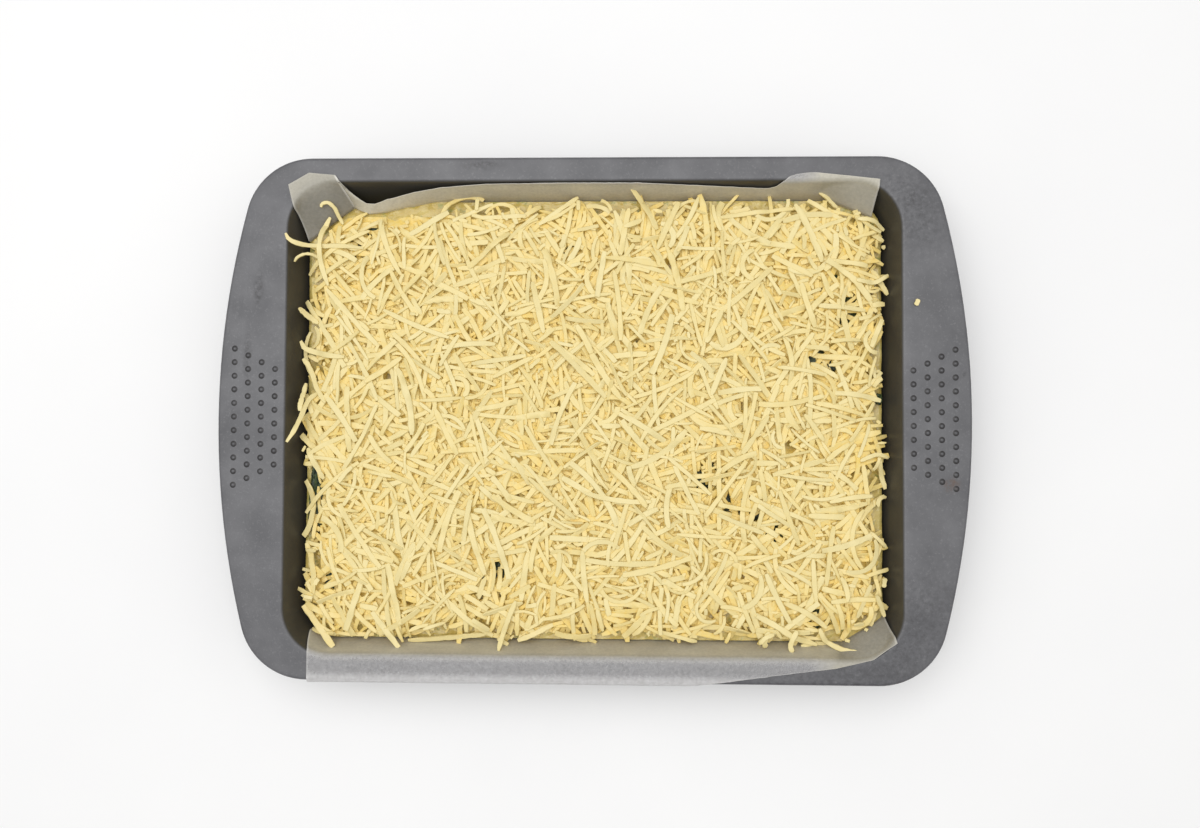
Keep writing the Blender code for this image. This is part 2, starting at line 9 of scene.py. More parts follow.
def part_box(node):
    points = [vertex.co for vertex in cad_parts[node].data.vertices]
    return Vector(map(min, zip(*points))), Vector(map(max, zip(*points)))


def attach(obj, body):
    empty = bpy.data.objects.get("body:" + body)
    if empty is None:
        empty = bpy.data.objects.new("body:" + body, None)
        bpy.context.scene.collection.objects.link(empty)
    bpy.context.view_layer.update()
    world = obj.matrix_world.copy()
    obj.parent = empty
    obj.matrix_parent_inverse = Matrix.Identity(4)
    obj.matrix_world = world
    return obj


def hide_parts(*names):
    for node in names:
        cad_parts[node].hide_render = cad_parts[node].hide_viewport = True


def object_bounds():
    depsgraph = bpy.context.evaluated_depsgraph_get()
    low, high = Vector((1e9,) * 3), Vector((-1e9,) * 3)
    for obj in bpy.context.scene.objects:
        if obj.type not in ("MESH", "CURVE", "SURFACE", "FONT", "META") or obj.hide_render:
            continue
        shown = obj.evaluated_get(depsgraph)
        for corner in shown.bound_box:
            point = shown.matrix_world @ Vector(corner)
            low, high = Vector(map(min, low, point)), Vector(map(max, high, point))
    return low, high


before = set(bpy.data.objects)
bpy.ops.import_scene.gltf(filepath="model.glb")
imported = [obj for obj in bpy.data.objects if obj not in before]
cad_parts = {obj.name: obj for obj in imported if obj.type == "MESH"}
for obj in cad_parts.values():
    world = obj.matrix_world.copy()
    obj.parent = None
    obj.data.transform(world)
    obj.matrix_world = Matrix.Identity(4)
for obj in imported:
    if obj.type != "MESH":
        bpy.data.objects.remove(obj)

cadLow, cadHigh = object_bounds()
mm = 0.001


# small helpers for meshes

def meshPiece(name, points, faces, material, sharpAngle=None):
    mesh = bpy.data.meshes.new(name)
    mesh.from_pydata(np.asarray(points).tolist(), [], faces)
    mesh.materials.append(material)
    mesh.shade_smooth()
    if sharpAngle:
        mesh.set_sharp_from_angle(angle=math.radians(sharpAngle))
    piece = bpy.data.objects.new(name, mesh)
    bpy.context.scene.collection.objects.link(piece)
    return piece


def settle(piece, slot, *nodes):
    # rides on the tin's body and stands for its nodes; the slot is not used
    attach(piece, "root")
    if nodes:
        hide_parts(*nodes)


def thicken(piece, thickness, offset, even=True):
    shell = piece.modifiers.new("thickness", "SOLIDIFY")
    shell.thickness = thickness
    shell.offset = offset
    shell.use_even_offset = even
    return shell


def addMask(piece, name, values):
    # a value for each point, which the material reads
    layer = piece.data.attributes.new(name, "FLOAT", "POINT")
    layer.data.foreach_set("value", values)


def ringFaces(rings, around, start=0, closed=True):
    # quads between rings of equal length
    faces = []
    for ring in range(rings - 1):
        for index in range(around if closed else around - 1):
            after = (index + 1) % around
            low = start + ring * around
            faces.append((low + index, low + after, low + around + after, low + around + index))
    return faces


def bumpy(x, y, size, seed=0.0, octaves=3):
    # layered noise from about -1 to 1, size in metres
    return noise.fractal(Vector((x / size, y / size, seed)), 0.9, 2.1, octaves)


def ease(low, high, value):
    share = min(1, max(0, (value - low) / (high - low)))
    return share * share * (3 - 2 * share)


# small helpers for materials

def newMaterial(name, roughness, **constants):
    material = bpy.data.materials.new(name)
    material.use_nodes = True
    shader = material.node_tree.nodes["Principled BSDF"]
    shader.inputs["Roughness"].default_value = roughness
    for key, value in constants.items():
        shader.inputs[key.replace("_", " ")].default_value = value
    return material, material.node_tree, shader


def addNode(tree, kind, values=None, **settings):
    node = tree.nodes.new(kind)
    for key, value in settings.items():
        setattr(node, key, value)
    for key, value in (values or {}).items():
        node.inputs[key].default_value = value
    return node


def newGroup(name, inputs, outputs):
    # a shader node group with named sockets; returns it with its input and output nodes
    group = bpy.data.node_groups.new(name, "ShaderNodeTree")
    for label, kind, value in inputs:
        socket = group.interface.new_socket(name=label, in_out="INPUT", socket_type=kind)
        socket.default_value = value
    for label, kind in outputs:
        group.interface.new_socket(name=label, in_out="OUTPUT", socket_type=kind)
    return group, group.nodes.new("NodeGroupInput"), group.nodes.new("NodeGroupOutput")


def useGroup(tree, group, values):
    node = tree.nodes.new("ShaderNodeGroup")
    node.node_tree = group
    for key, value in values.items():
        node.inputs[key].default_value = value
    return node


def connect(tree, *wires):
    # each wire is a node, its output, another node and its input
    for source, output, target, entry in wires:
        tree.links.new(source.outputs[output], target.inputs[entry])


def mixColours(tree, mask, below, above):
    # the colour over another by a mask; below and above are sockets or colours
    node = addNode(tree, "ShaderNodeMix", data_type="RGBA")
    for socket, value in ((node.inputs[0], mask), (node.inputs[6], below), (node.inputs[7], above)):
        if isinstance(value, bpy.types.NodeSocket):
            tree.links.new(value, socket)
        else:
            socket.default_value = value
    return node.outputs[2]


def readMask(tree, name):
    # the values that addMask gave the piece
    return addNode(tree, "ShaderNodeAttribute", attribute_name=name).outputs["Fac"]


def addTone(tree, scale, low, high, dark=(0, 0, 0, 1), light=(1, 1, 1, 1)):
    return useGroup(tree, mottle, {"Scale": scale, "Low": low, "High": high, "Dark": dark, "Light": light})


def addGrain(tree, shader, scale, pits, strength, distance):
    fine = useGroup(tree, grain, {"Scale": scale, "Pits": pits})
    bump = addNode(tree, "ShaderNodeBump", {"Strength": strength, "Distance": distance})
    connect(tree, (fine, "Height", bump, "Height"), (bump, "Normal", shader, "Normal"))


def makeMottleGroup():
    # two colours that wander into each other
    group, source, result = newGroup("mottledTone", [
        ("Scale", "NodeSocketFloat", 100.0),
        ("Low", "NodeSocketFloat", 0.4),
        ("High", "NodeSocketFloat", 0.6),
        ("Dark", "NodeSocketColor", (0, 0, 0, 1)),
        ("Light", "NodeSocketColor", (1, 1, 1, 1)),
    ], [("Colour", "NodeSocketColor"), ("Mask", "NodeSocketFloat")])
    place = group.nodes.new("ShaderNodeTexCoord")
    cloud = addNode(group, "ShaderNodeTexNoise", {"Detail": 4.0, "Roughness": 0.6})
    span = addNode(group, "ShaderNodeMapRange")
    connect(group,
            (place, "Object", cloud, "Vector"), (source, "Scale", cloud, "Scale"),
            (source, "Low", span, "From Min"), (source, "High", span, "From Max"),
            (cloud, "Fac", span, "Value"), (span, "Result", result, "Mask"))
    colour = mixColours(group, span.outputs["Result"], source.outputs["Dark"], source.outputs["Light"])
    group.links.new(colour, result.inputs["Colour"])
    return group


def makeGrainGroup():
    # fine grain with scattered pits, as a height
    group, source, result = newGroup("fineGrain", [
        ("Scale", "NodeSocketFloat", 1500.0),
        ("Pits", "NodeSocketFloat", 0.5),
    ], [("Height", "NodeSocketFloat")])
    place = group.nodes.new("ShaderNodeTexCoord")
    cloud = addNode(group, "ShaderNodeTexNoise", {"Detail": 2.0, "Roughness": 0.7})
    pits = addNode(group, "ShaderNodeTexVoronoi")
    scaled = addNode(group, "ShaderNodeMath", operation="MULTIPLY")
    added = addNode(group, "ShaderNodeMath", operation="ADD")
    for texture in (cloud, pits):
        connect(group, (place, "Object", texture, "Vector"), (source, "Scale", texture, "Scale"))
    connect(group,
            (pits, "Distance", scaled, 0), (source, "Pits", scaled, 1),
            (cloud, "Fac", added, 0), (scaled, "Value", added, 1), (added, "Value", result, "Height"))
    return group


def makeMarkAndShadeGroup():
    # a soft mark round a place, broken up by noise; it serves for worn marks and for patches of painted
    # shade
    group, source, result = newGroup("softMarkAndShade", [
        ("Place", "NodeSocketVector", (0, 0, 0)),
        ("Turn", "NodeSocketVector", (0, 0, 0)),
        ("Size", "NodeSocketVector", (0.01, 0.01, 0.02)),
        ("Scale", "NodeSocketFloat", 500.0),
        ("Cover", "NodeSocketFloat", 0.5),
    ], [("Mask", "NodeSocketFloat")])
    place = group.nodes.new("ShaderNodeTexCoord")
    mapping = addNode(group, "ShaderNodeMapping", vector_type="TEXTURE")
    length = addNode(group, "ShaderNodeVectorMath", operation="LENGTH")
    fade = addNode(group, "ShaderNodeMapRange", {"From Min": 1.0, "From Max": 0.2},
                   interpolation_type="SMOOTHSTEP")
    cloud = addNode(group, "ShaderNodeTexNoise", {"Detail": 3.0, "Roughness": 0.65})
    gap = addNode(group, "ShaderNodeMapRange", {"From Max": 0.75})
    both = addNode(group, "ShaderNodeMath", operation="MULTIPLY")
    connect(group,
            (place, "Object", mapping, "Vector"), (source, "Place", mapping, "Location"),
            (source, "Turn", mapping, "Rotation"), (source, "Size", mapping, "Scale"),
            (mapping, "Vector", length, 0), (length, "Value", fade, "Value"),
            (place, "Object", cloud, "Vector"), (source, "Scale", cloud, "Scale"),
            (cloud, "Fac", gap, "Value"), (source, "Cover", gap, "From Min"),
            (fade, "Result", both, 0), (gap, "Result", both, 1), (both, "Value", result, "Mask"))
    return group


mottle = makeMottleGroup()
grain = makeGrainGroup()
markAndShade = makeMarkAndShadeGroup()


# camera, light and floor

cameraSetup = {
    "place": (0.02009, -0.01437, 0.54255),
    "turn": (0.0327274, 0.0315821, 0.0046102),
    "lens": 31.38,
    "sensor": 36.0,
}
lightSetup = {
    "skyLow": 0.28,             # brightness of the room at the horizon and overhead
    "skyHigh": 0.81,
    "skyColour": (1.0, 0.995, 0.985, 1),
    "skySides": 2.8,            # how much brighter it is overhead to the left and right than front and back
    "panelPlace": (-0.14, 0.22, 1.5),
    "panelSize": 1.3,
    "panelPower": 14.0,
}
floorLook = {
    "halfSize": 3.0,
    "level": -0.15 * mm,
    "dark": (0.86, 0.86, 0.865, 1),
    "light": (0.90, 0.90, 0.90, 1),
}


def makeCamera():
    data = bpy.data.cameras.new("photoCamera")
    data.sensor_fit = "HORIZONTAL"
    data.sensor_width = cameraSetup["sensor"]
    data.lens = cameraSetup["lens"]
    data.clip_start = 0.01
    camera = bpy.data.objects.new("photoCamera", data)
    camera.location = cameraSetup["place"]
    camera.rotation_euler = cameraSetup["turn"]
    bpy.context.scene.collection.objects.link(camera)
    bpy.context.scene.camera = camera


def makeSky():
    world = bpy.data.worlds.new("studioSky")
    world.use_nodes = True
    tree = world.node_tree
    sky = tree.nodes["Background"]
    sky.inputs["Color"].default_value = lightSetup["skyColour"]
    place = tree.nodes.new("ShaderNodeTexCoord")
    axes = tree.nodes.new("ShaderNodeSeparateXYZ")
    strength = addNode(tree, "ShaderNodeMapRange",
                       {"To Min": lightSetup["skyLow"], "To Max": lightSetup["skyHigh"]})
    overhead = addNode(tree, "ShaderNodeMath", {1: 4.0}, operation="POWER")
    alongX = addNode(tree, "ShaderNodeMath", {1: 2.0}, operation="POWER")
    alongY = addNode(tree, "ShaderNodeMath", {1: 2.0}, operation="POWER")
    between = addNode(tree, "ShaderNodeMath", operation="SUBTRACT")
    faded = addNode(tree, "ShaderNodeMath", operation="MULTIPLY")
    total = addNode(tree, "ShaderNodeMath", {1: lightSetup["skySides"]}, operation="MULTIPLY_ADD")
    connect(tree,
            (place, "Generated", axes, "Vector"), (axes, "Z", strength, "Value"),
            (axes, "Z", overhead, 0), (axes, "X", alongX, 0), (axes, "Y", alongY, 0),
            (alongX, "Value", between, 0), (alongY, "Value", between, 1),
            (between, "Value", faded, 0), (overhead, "Value", faded, 1),
            (faded, "Value", total, 0), (strength, "Result", total, 2),
            (total, "Value", sky, "Strength"))
    bpy.context.scene.world = world


def makePanel():
    data = bpy.data.lights.new("softPanel", "AREA")
    data.shape = "SQUARE"
    data.size = lightSetup["panelSize"]
    data.energy = lightSetup["panelPower"]
    panel = bpy.data.objects.new("softPanel", data)
    panel.location = lightSetup["panelPlace"]
    panel.rotation_euler = (-panel.location).to_track_quat("-Z", "Y").to_euler()
    bpy.context.scene.collection.objects.link(panel)
    bpy.context.scene.view_settings.view_transform = "Standard"


def makeFloor():
    material, tree, shader = newMaterial("paleFloor", 0.6)
    tone = addTone(tree, 3.0, 0.3, 0.7, floorLook["dark"], floorLook["light"])
    connect(tree, (tone, "Colour", shader, "Base Color"))
    half = floorLook["halfSize"]
    level = floorLook["level"]
    corners = [(-half, -half, level), (half, -half, level), (half, half, level), (-half, half, level)]
    meshPiece("floor", corners, [(0, 1, 2, 3)], material)


makeCamera()
makeSky()
makePanel()
makeFloor()
print("camera, light and floor made")


# the tin

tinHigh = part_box("baking_tin")[1]
tinShape = {
    "height": 45 * mm,
    "halfLength": tinHigh.x,
    "halfWidth": tinHigh.y,
    "outerCorner": 32.5 * mm,
    "endRadius": 409 * mm,
    "cavityHalfLength": 148.7 * mm,
    "cavityHalfWidth": 115.2 * mm,
    "cavityCorner": 24 * mm,
    "cavityEndRadius": 100,     # metres: as good as straight
    "wallLean": math.radians(15),
    "baseRadius": 8 * mm,
    "bendRadius": 1.8 * mm,
    "lipRadius": 1.5 * mm,
    "lipDrop": 4 * mm,
    "hemRadius": 1.2 * mm,
    "sheet": 0.8 * mm,
    "baseLevel": 0.9 * mm,
    "wave": 0.1 * mm,           # how uneven the pressed rim is
    "endSteps": 12,
    "cornerSteps": 18,
    "sideSteps": 26,
    "foldSteps": 7,
    "wallSteps": 6,
    "rimSteps": 7,
}
gripDots = {
    "columns": 4,
    "inOuterColumn": 11,
    "pitch": 6.56 * mm,
    "outerX": 172 * mm,
    "radius": 1.65 * mm,
    "rise": (0.48 * mm, 0.7 * mm),
    "sides": 16,
    "rings": 5,
    "footShade": (0.5, 1.0, 0.9, 0.5, 0.15),    # how much painted shade each ring gets, from the foot up
    "seed": 3,
}


def tinOutline(halfLength, halfWidth, corner, endRadius):
    # bulging ends, round corners, straight long sides: a quarter, then mirrored
    endCentre = halfLength - endRadius
    cornerY = halfWidth - corner
    cornerX = endCentre + math.sqrt((endRadius - corner) ** 2 - cornerY ** 2)
    tangent = math.atan2(cornerY, cornerX - endCentre)
    quarter = []
    for step in range(tinShape["endSteps"]):
        angle = tangent * step / tinShape["endSteps"]
        quarter.append((endCentre + endRadius * math.cos(angle), endRadius * math.sin(angle)))
    for step in range(tinShape["cornerSteps"] + 1):
        angle = tangent + (math.pi / 2 - tangent) * step / tinShape["cornerSteps"]
        quarter.append((cornerX + corner * math.cos(angle), cornerY + corner * math.sin(angle)))
    for step in range(1, tinShape["sideSteps"] + 1):
        quarter.append((cornerX * (1 - step / tinShape["sideSteps"]), halfWidth))
    backLeft = [(-x, y) for x, y in reversed(quarter[:-1])]
    frontLeft = [(-x, -y) for x, y in quarter[1:]]
    frontRight = [(x, -y) for x, y in reversed(quarter[1:-1])]
    return quarter + backLeft + frontLeft + frontRight


def cavityOutline(inset):
    return tinOutline(tinShape["cavityHalfLength"] - inset, tinShape["cavityHalfWidth"] - inset,
                      tinShape["cavityCorner"] - inset, tinShape["cavityEndRadius"])


def rimOutline(inset):
    return tinOutline(tinShape["halfLength"] - inset, tinShape["halfWidth"] - inset,
                      tinShape["outerCorner"] - inset, tinShape["endRadius"] - inset)


def foldCentre():
    height = tinShape["baseLevel"] + tinShape["baseRadius"]
    drop = tinShape["height"] - tinShape["bendRadius"] - height
    lean = tinShape["wallLean"]
    reach = tinShape["baseRadius"] + tinShape["bendRadius"] + math.sin(lean) * drop
    return reach / math.cos(lean), height


def foldPoint(angle, clearance):
    # inset and height on the rounding between base and wall, angle 0 on the base
    inset, height = foldCentre()
    radius = tinShape["baseRadius"] - clearance
    return inset - radius * math.sin(angle), height - radius * math.cos(angle)


def wallInset(height, clearance=0.0):
    # how far inside the cavity's top edge the wall is at a height
    footInset, footHeight = foldPoint(math.pi / 2 - tinShape["wallLean"], clearance)
    return footInset - (height - footHeight) * math.tan(tinShape["wallLean"])


def rimWave(x, y):
    return tinShape["wave"] * bumpy(x, y, 60 * mm, 5.0, 2)


def makeTin(material, backMaterial):
    steepest = math.pi / 2 - tinShape["wallLean"]
    steps = tinShape["foldSteps"]
    rings = []
    filmAndShade = []       # 1 on the inside, where an oily film and painted shade with a painted warm reflection of the food darken the coating, 0 on the clean rim
    for step in range(steps + 1):
        inset, height = foldPoint(steepest * step / steps, 0)
        rings.append([(x, y, height) for x, y in cavityOutline(inset)])
    bendStart = tinShape["height"] - tinShape["bendRadius"] * (1 - math.cos(steepest))
    foot = rings[-1][0][2]
    for step in range(1, tinShape["wallSteps"]):
        height = foot + (bendStart - foot) * step / tinShape["wallSteps"]
        rings.append([(x, y, height) for x, y in cavityOutline(wallInset(height))])
    filmAndShade += [1.0] * len(rings)
    for step in range(steps + 1):
        filmAndShade.append(1 - ease(0.2, 0.75, step / steps))
        angle = steepest * (1 - step / steps)
        inset = tinShape["bendRadius"] * math.sin(angle)
        height = tinShape["height"] - tinShape["bendRadius"] * (1 - math.cos(angle))
        wave = step / steps
        rings.append([(x, y, height + wave * rimWave(x, y)) for x, y in cavityOutline(inset)])
    inner = cavityOutline(0)
    outer = rimOutline(tinShape["lipRadius"])
    for step in range(1, tinShape["rimSteps"]):
        share = step / tinShape["rimSteps"]
        between = [(a + (c - a) * share, b + (d - b) * share) for (a, b), (c, d) in zip(inner, outer)]
        rings.append([(x, y, tinShape["height"] + rimWave(x, y)) for x, y in between])
    for step in range(steps + 1):
        angle = math.pi / 2 * step / steps
        inset = tinShape["lipRadius"] * (1 - math.sin(angle))
        height = tinShape["height"] - tinShape["lipRadius"] * (1 - math.cos(angle))
        rings.append([(x, y, height + rimWave(x, y)) for x, y in rimOutline(inset)])
    bottom = tinShape["height"] - tinShape["lipDrop"]
    hem = tinShape["hemRadius"]
    for step in range(steps + 1):      # the edge is rolled under
        angle = math.pi / 2 * step / steps
        height = bottom + hem * (1 - math.sin(angle))
        inset = hem * (1 - math.cos(angle))
        rings.append([(x, y, height) for x, y in rimOutline(inset)])
    filmAndShade += [0.0] * (len(rings) - len(filmAndShade))
    around = len(rings[0])
    points = [point for ring in rings for point in ring]
    faces = [face[::-1] for face in ringFaces(len(rings), around)]
    faces.append(tuple(range(around)))
    tin = meshPiece("nonStickTin", points, faces, material)
    tin.data.materials.append(backMaterial)
    addMask(tin, "oilFilmAndShade", [share for share in filmAndShade for _ in range(around)])
    shell = thicken(tin, tinShape["sheet"], -1)
    shell.material_offset = 1
    settle(tin, "dark_coating", "baking_tin")


def makeGripDots(material):
    chance = random.Random(gripDots["seed"])
    points = []
    faces = []
    # painted shade for each point, darkest low on the dot's side
    footShade = []
    sides = gripDots["sides"]
    rings = gripDots["rings"]
    for side in (-1, 1):
        for column in range(gripDots["columns"]):
            count = gripDots["inOuterColumn"] - column
            for index in range(count):
                x = side * (gripDots["outerX"] - column * gripDots["pitch"])
                y = (index - (count - 1) / 2) * gripDots["pitch"]
                base = tinShape["height"] + rimWave(x, y)
                rise = chance.uniform(*gripDots["rise"])
                start = len(points)
                for ring in range(rings):
                    share = 1 - ring / rings
                    height = base + rise * (1 + math.cos(math.pi * share)) / 2 - 0.02 * mm * share
                    for turn in range(sides):
                        angle = 2 * math.pi * turn / sides
                        reach = gripDots["radius"] * share
                        points.append((x + reach * math.cos(angle), y + reach * math.sin(angle), height))
                        footShade.append(gripDots["footShade"][ring])
                points.append((x, y, base + rise))
                footShade.append(0.0)
                faces += ringFaces(rings, sides, start)
                top = start + (rings - 1) * sides
                faces += [(top + turn, top + (turn + 1) % sides, len(points) - 1) for turn in range(sides)]
    dots = meshPiece("gripDots", points, faces, material)
    addMask(dots, "dotFootShade", footShade)
    settle(dots, "dark_coating")


coatingLook = {
    "dark": (0.088, 0.088, 0.095, 1),
    "light": (0.125, 0.125, 0.133, 1),
    "speck": (0.20, 0.20, 0.21, 1),
    "scuff": (0.034, 0.032, 0.034, 1),
    "rust": (0.10, 0.055, 0.035, 1),
    # painted shade for the darker parts of the rim
    "rimShade": (0.058, 0.057, 0.062, 1),
    # painted shade round the foot of each grip dot
    "footShade": (0.022, 0.020, 0.020, 1),
    # the inside: an oily film, with painted shade and a painted warm reflection of the food
    "filmAndShade": (0.050, 0.047, 0.040, 1),
    "speckCover": 0.45,
    "markDepth": 5 * mm,
    "markScale": 420.0,
    "markCover": 0.38,
    "roughness": 0.42,
    "glossy": (0.36, 0.36, 0.36, 1),        # the roughness wanders between these two
    "dull": (0.5, 0.5, 0.5, 1),
}
# worn marks, and broad patches of painted shade on the rim: place x and y in mm, half length and half width
# in mm, turn in degrees, kind
tinMarks = [
    (-53, 121.5, 13, 3.2, 2, "scuff"),
    (-161, 62, 13, 3.6, 85, "scuff"),
    (152, 104, 7, 2.6, 60, "scuff"),
    (170, -31, 6, 5.0, 0, "rust"),
    (176, 21, 2.2, 1.2, 60, "scuff"),
    (-166, 30, 16, 3.0, 88, "scuff"),
    # painted shade: the rim darker at the front right and back right
    (150, -100, 46, 26, 60, "rimShade"),
    (110, -122, 60, 16, 0, "rimShade"),
    (150, 100, 34, 26, -50, "rimShade"),
]


def makeCoating(name, withFilmAndShade):
    material, tree, shader = newMaterial(name, coatingLook["roughness"], Metallic=0.0)
    tone = addTone(tree, 45.0, 0.35, 0.65, coatingLook["dark"], coatingLook["light"])
    specks = addTone(tree, 900.0, 0.56, 0.72)
    faint = addNode(tree, "ShaderNodeMath", {1: coatingLook["speckCover"]}, operation="MULTIPLY")
    connect(tree, (specks, "Mask", faint, 0))
    colour = mixColours(tree, faint.outputs["Value"], tone.outputs["Colour"], coatingLook["speck"])
    # worn marks, and patches of painted shade on the rim
    for x, y, length, width, turn, kind in tinMarks:
        mark = useGroup(tree, markAndShade, {
            "Place": (x * mm, y * mm, tinShape["height"]),
            "Turn": (0, 0, math.radians(turn)),
            "Size": (length * mm, width * mm, coatingLook["markDepth"]),
            "Scale": coatingLook["markScale"],
            "Cover": coatingLook["markCover"],
        })
        colour = mixColours(tree, mark.outputs["Mask"], colour, coatingLook[kind])
    # painted shade round the grip dots' feet
    colour = mixColours(tree, readMask(tree, "dotFootShade"), colour, coatingLook["footShade"])
    if withFilmAndShade:
        # the inside darker and browner: oily film, painted shade and painted reflection of the food
        colour = mixColours(tree, readMask(tree, "oilFilmAndShade"), colour, coatingLook["filmAndShade"])
    tree.links.new(colour, shader.inputs["Base Color"])
    sheen = addTone(tree, 30.0, 0.3, 0.7, coatingLook["glossy"], coatingLook["dull"])
    connect(tree, (sheen, "Colour", shader, "Roughness"))
    addGrain(tree, shader, 1400.0, 0.4, 0.25, 0.15 * mm)
    return material


coating = makeCoating("nonStickCoating", False)
makeTin(makeCoating("oiledShadedCoating", True), coating)
makeGripDots(coating)
print("tin made")


# the baking paper: a path position is measured along wall and rim, zero at the cavity's top edge,
# positive outwards over the rim and negative down the wall

paperShape = {
    "offTin": 0.72 * mm,
    "crinkle": 0.28 * mm,
    "nearest": 0.4 * mm,
    "farthest": 1.0 * mm,
    "thickness": 0.12 * mm,
    "hangRadius": 2.4 * mm,
    "overLip": 0.9 * mm,
    "foodLine": -16,
    "torn": 0.25,               # mm: how far a torn edge is from straight
    "edgeHighlight": 0.3,            # how strong the painted highlight along a free edge and a sharp fold is
    "foldHighlight": 0.8,
    "foldWidth": 1.6,
    "sharpest": 8.5,            # a crease softer than this gets no painted highlight line
    "columns": 230,
    "backRows": 26,
    "frontRows": 40,
    "baseRows": 6,
    # place along the wall from its middle, and the path position of the free edge there, in mm
    "backEdge": [(-152, -12), (-109, -12), (-104, -10.9), (-100, -9.5), (-94, -8.3), (-88, -7.3),
                 (-77, -5.5), (-67, -4.5), (-58, -3.7), (-50, -3.2), (-15, -2.5), (23, -2.7), (52, -5.3),
                 (80, -8.2), (85, -8.4), (89, -6.5), (93, -2.5), (98, 0.5), (105, 2.3), (142, 2.3)],
    "frontEdge": [(-140, 14.5), (24, 14.5), (40, 12.6), (55, 10.4), (75, 7.8), (94, 5.2), (116, 2.3),
                  (152, 2.3)],
    # left and right end along the wall, at the food's surface and at the rim, in mm
    "backEnds": [(-160, 147), (-144, 136.5)],
    "frontEnds": [(-144, 157), (-135.3, 147)],
    # how far the back strip's foot leans in from the wall, by x
    "leanIn": [(-122, 4), (-117, 6), (-111, 8.2), (-103, 7.2), (-92, 4.4), (-80, 2.2), (-70, 1.2),
               (-58, 0)],
    # stiff flaps that cut straight across a corner of the tin: side, x and y of the foot and of the top
    # edge from the paper's end to the crease, the crease's place along the paper, how soft it is, in mm,
    # and how much painted shade the flap gets
    "flaps": [
        (1, [(-141, 87.4), (-117.6, 105)], [(-147, 112.3), (-136.9, 118), (-123.9, 116.8)], -117, -8, 1.0),
        (1, [(135.9, 99), (112, 108.7)], [(136.9, 114), (122.3, 115.7), (108.6, 117.1)], 110, 9, 0.45),
        (-1, [(141.6, -95.3), (120, -108.7)], [(144.1, -105.1), (133, -113), (115, -117.3)], 118, 12, 0.85),
    ],
    "flapFoot": 31.7 * mm,
    # painted shade on the front strip's wall part
    "frontShade": 0.22,
    # how well the paper covers what is behind it: on the walls, on flaps, on the rim and past it
    "covers": (0.94, 0.85, 0.24, 0.80),
}


def wallPlace(along, inset, side):
    # plan point along a long wall from its middle, round the corner at its end
    straight = tinShape["cavityHalfLength"] - tinShape["cavityCorner"]
    level = tinShape["cavityHalfWidth"] - tinShape["cavityCorner"]
    reach = abs(along) - straight
    radius = tinShape["cavityCorner"] - inset
    if inset < 0 and side < 0:      # the front flap is folded straight down over the rim
        x, edge = wallPlace(along, 0, 1)
        rim = tinShape["halfWidth"] - tinShape["cavityHalfWidth"]
        return x, side * (edge - inset * (tinShape["halfWidth"] - edge) / rim)
    if reach <= 0:
        return along, side * (level + radius)
    angle = min(reach / tinShape["cavityCorner"], math.pi / 2)
    past = max(0, reach - tinShape["cavityCorner"] * math.pi / 2)
    x = straight + radius * math.sin(angle)
    return math.copysign(x, along), side * (level + radius * math.cos(angle) - past)


def paperPath(position, clearance):
    # inset and height of the paper: up the wall, over the rim, down past the lip
    bend = tinShape["bendRadius"] + clearance
    lean = tinShape["wallLean"]
    turn = math.pi / 2 - lean
    centre = tinShape["height"] - tinShape["bendRadius"]
    if position < -bend * turn:
        down = -position - bend * turn
        return (bend * math.sin(turn) + down * math.sin(lean),
                centre + bend * math.cos(turn) - down * math.cos(lean))
    if position < 0:
        return bend * math.sin(-position / bend), centre + bend * math.cos(position / bend)
    hang = paperShape["hangRadius"]
    top = tinShape["height"] + clearance
    flat = tinShape["halfWidth"] - tinShape["cavityHalfWidth"] + paperShape["overLip"] - hang
    if position < flat:
        return -position, top
    angle = min((position - flat) / hang, math.pi / 2)
    below = max(0, position - flat - hang * math.pi / 2)
    return -flat - hang * math.sin(angle), top - hang * (1 - math.cos(angle)) - below


def paperOff(along, position, side):
    # how far the crinkled paper stands off the tin
    soft = bumpy(along, position, 26 * mm, 3.0 * side)
    crease = 1 - abs(bumpy(along, position * 0.8, 17 * mm, 9.0 + side, 2)) * 2
    off = paperShape["offTin"] + paperShape["crinkle"] * (0.7 * soft + 0.3 * crease)
    return min(paperShape["farthest"], max(paperShape["nearest"], off))


def stripLean(x):
    return np.interp(x / mm, *zip(*paperShape["leanIn"]), left=0) * mm


def flapShare(side, middle, lastMiddle):
    # the flap that a place along the paper belongs to, how much, and how far across it the place is
    for flap in paperShape["flaps"]:
        crease, soft = flap[3:5]
        past = (crease - middle) / soft     # from the crease away from the paper's end, 1 when out of it
        if flap[0] == side and past < 1 and lastMiddle * soft > 0:
            return flap, min(1, 1 - past), min(1, (lastMiddle - middle) / (lastMiddle - crease))
    return None, 0, 0


def alongLine(line, share):
    # a place at a share of the way along a line through a few points
    steps = [math.dist(*pair) for pair in zip(line, line[1:])]
    reached = [sum(steps[:index]) / sum(steps) for index in range(len(line))]
    return [np.interp(share, reached, [point[axis] for point in line]) * mm for axis in (0, 1)]


def roundedInland(x, y, halfLength, halfWidth, corner):
    # how far inside a rounded rectangle's edge a place lies
    overX = abs(x) - (halfLength - corner)
    overY = abs(y) - (halfWidth - corner)
    return corner - (math.hypot(overX, overY) if overX > 0 and overY > 0 else max(overX, overY))


def cavityInland(x, y):
    # how far inside the cavity's top edge a place lies
    return roundedInland(x, y, tinShape["cavityHalfLength"], tinShape["cavityHalfWidth"],
                         tinShape["cavityCorner"])


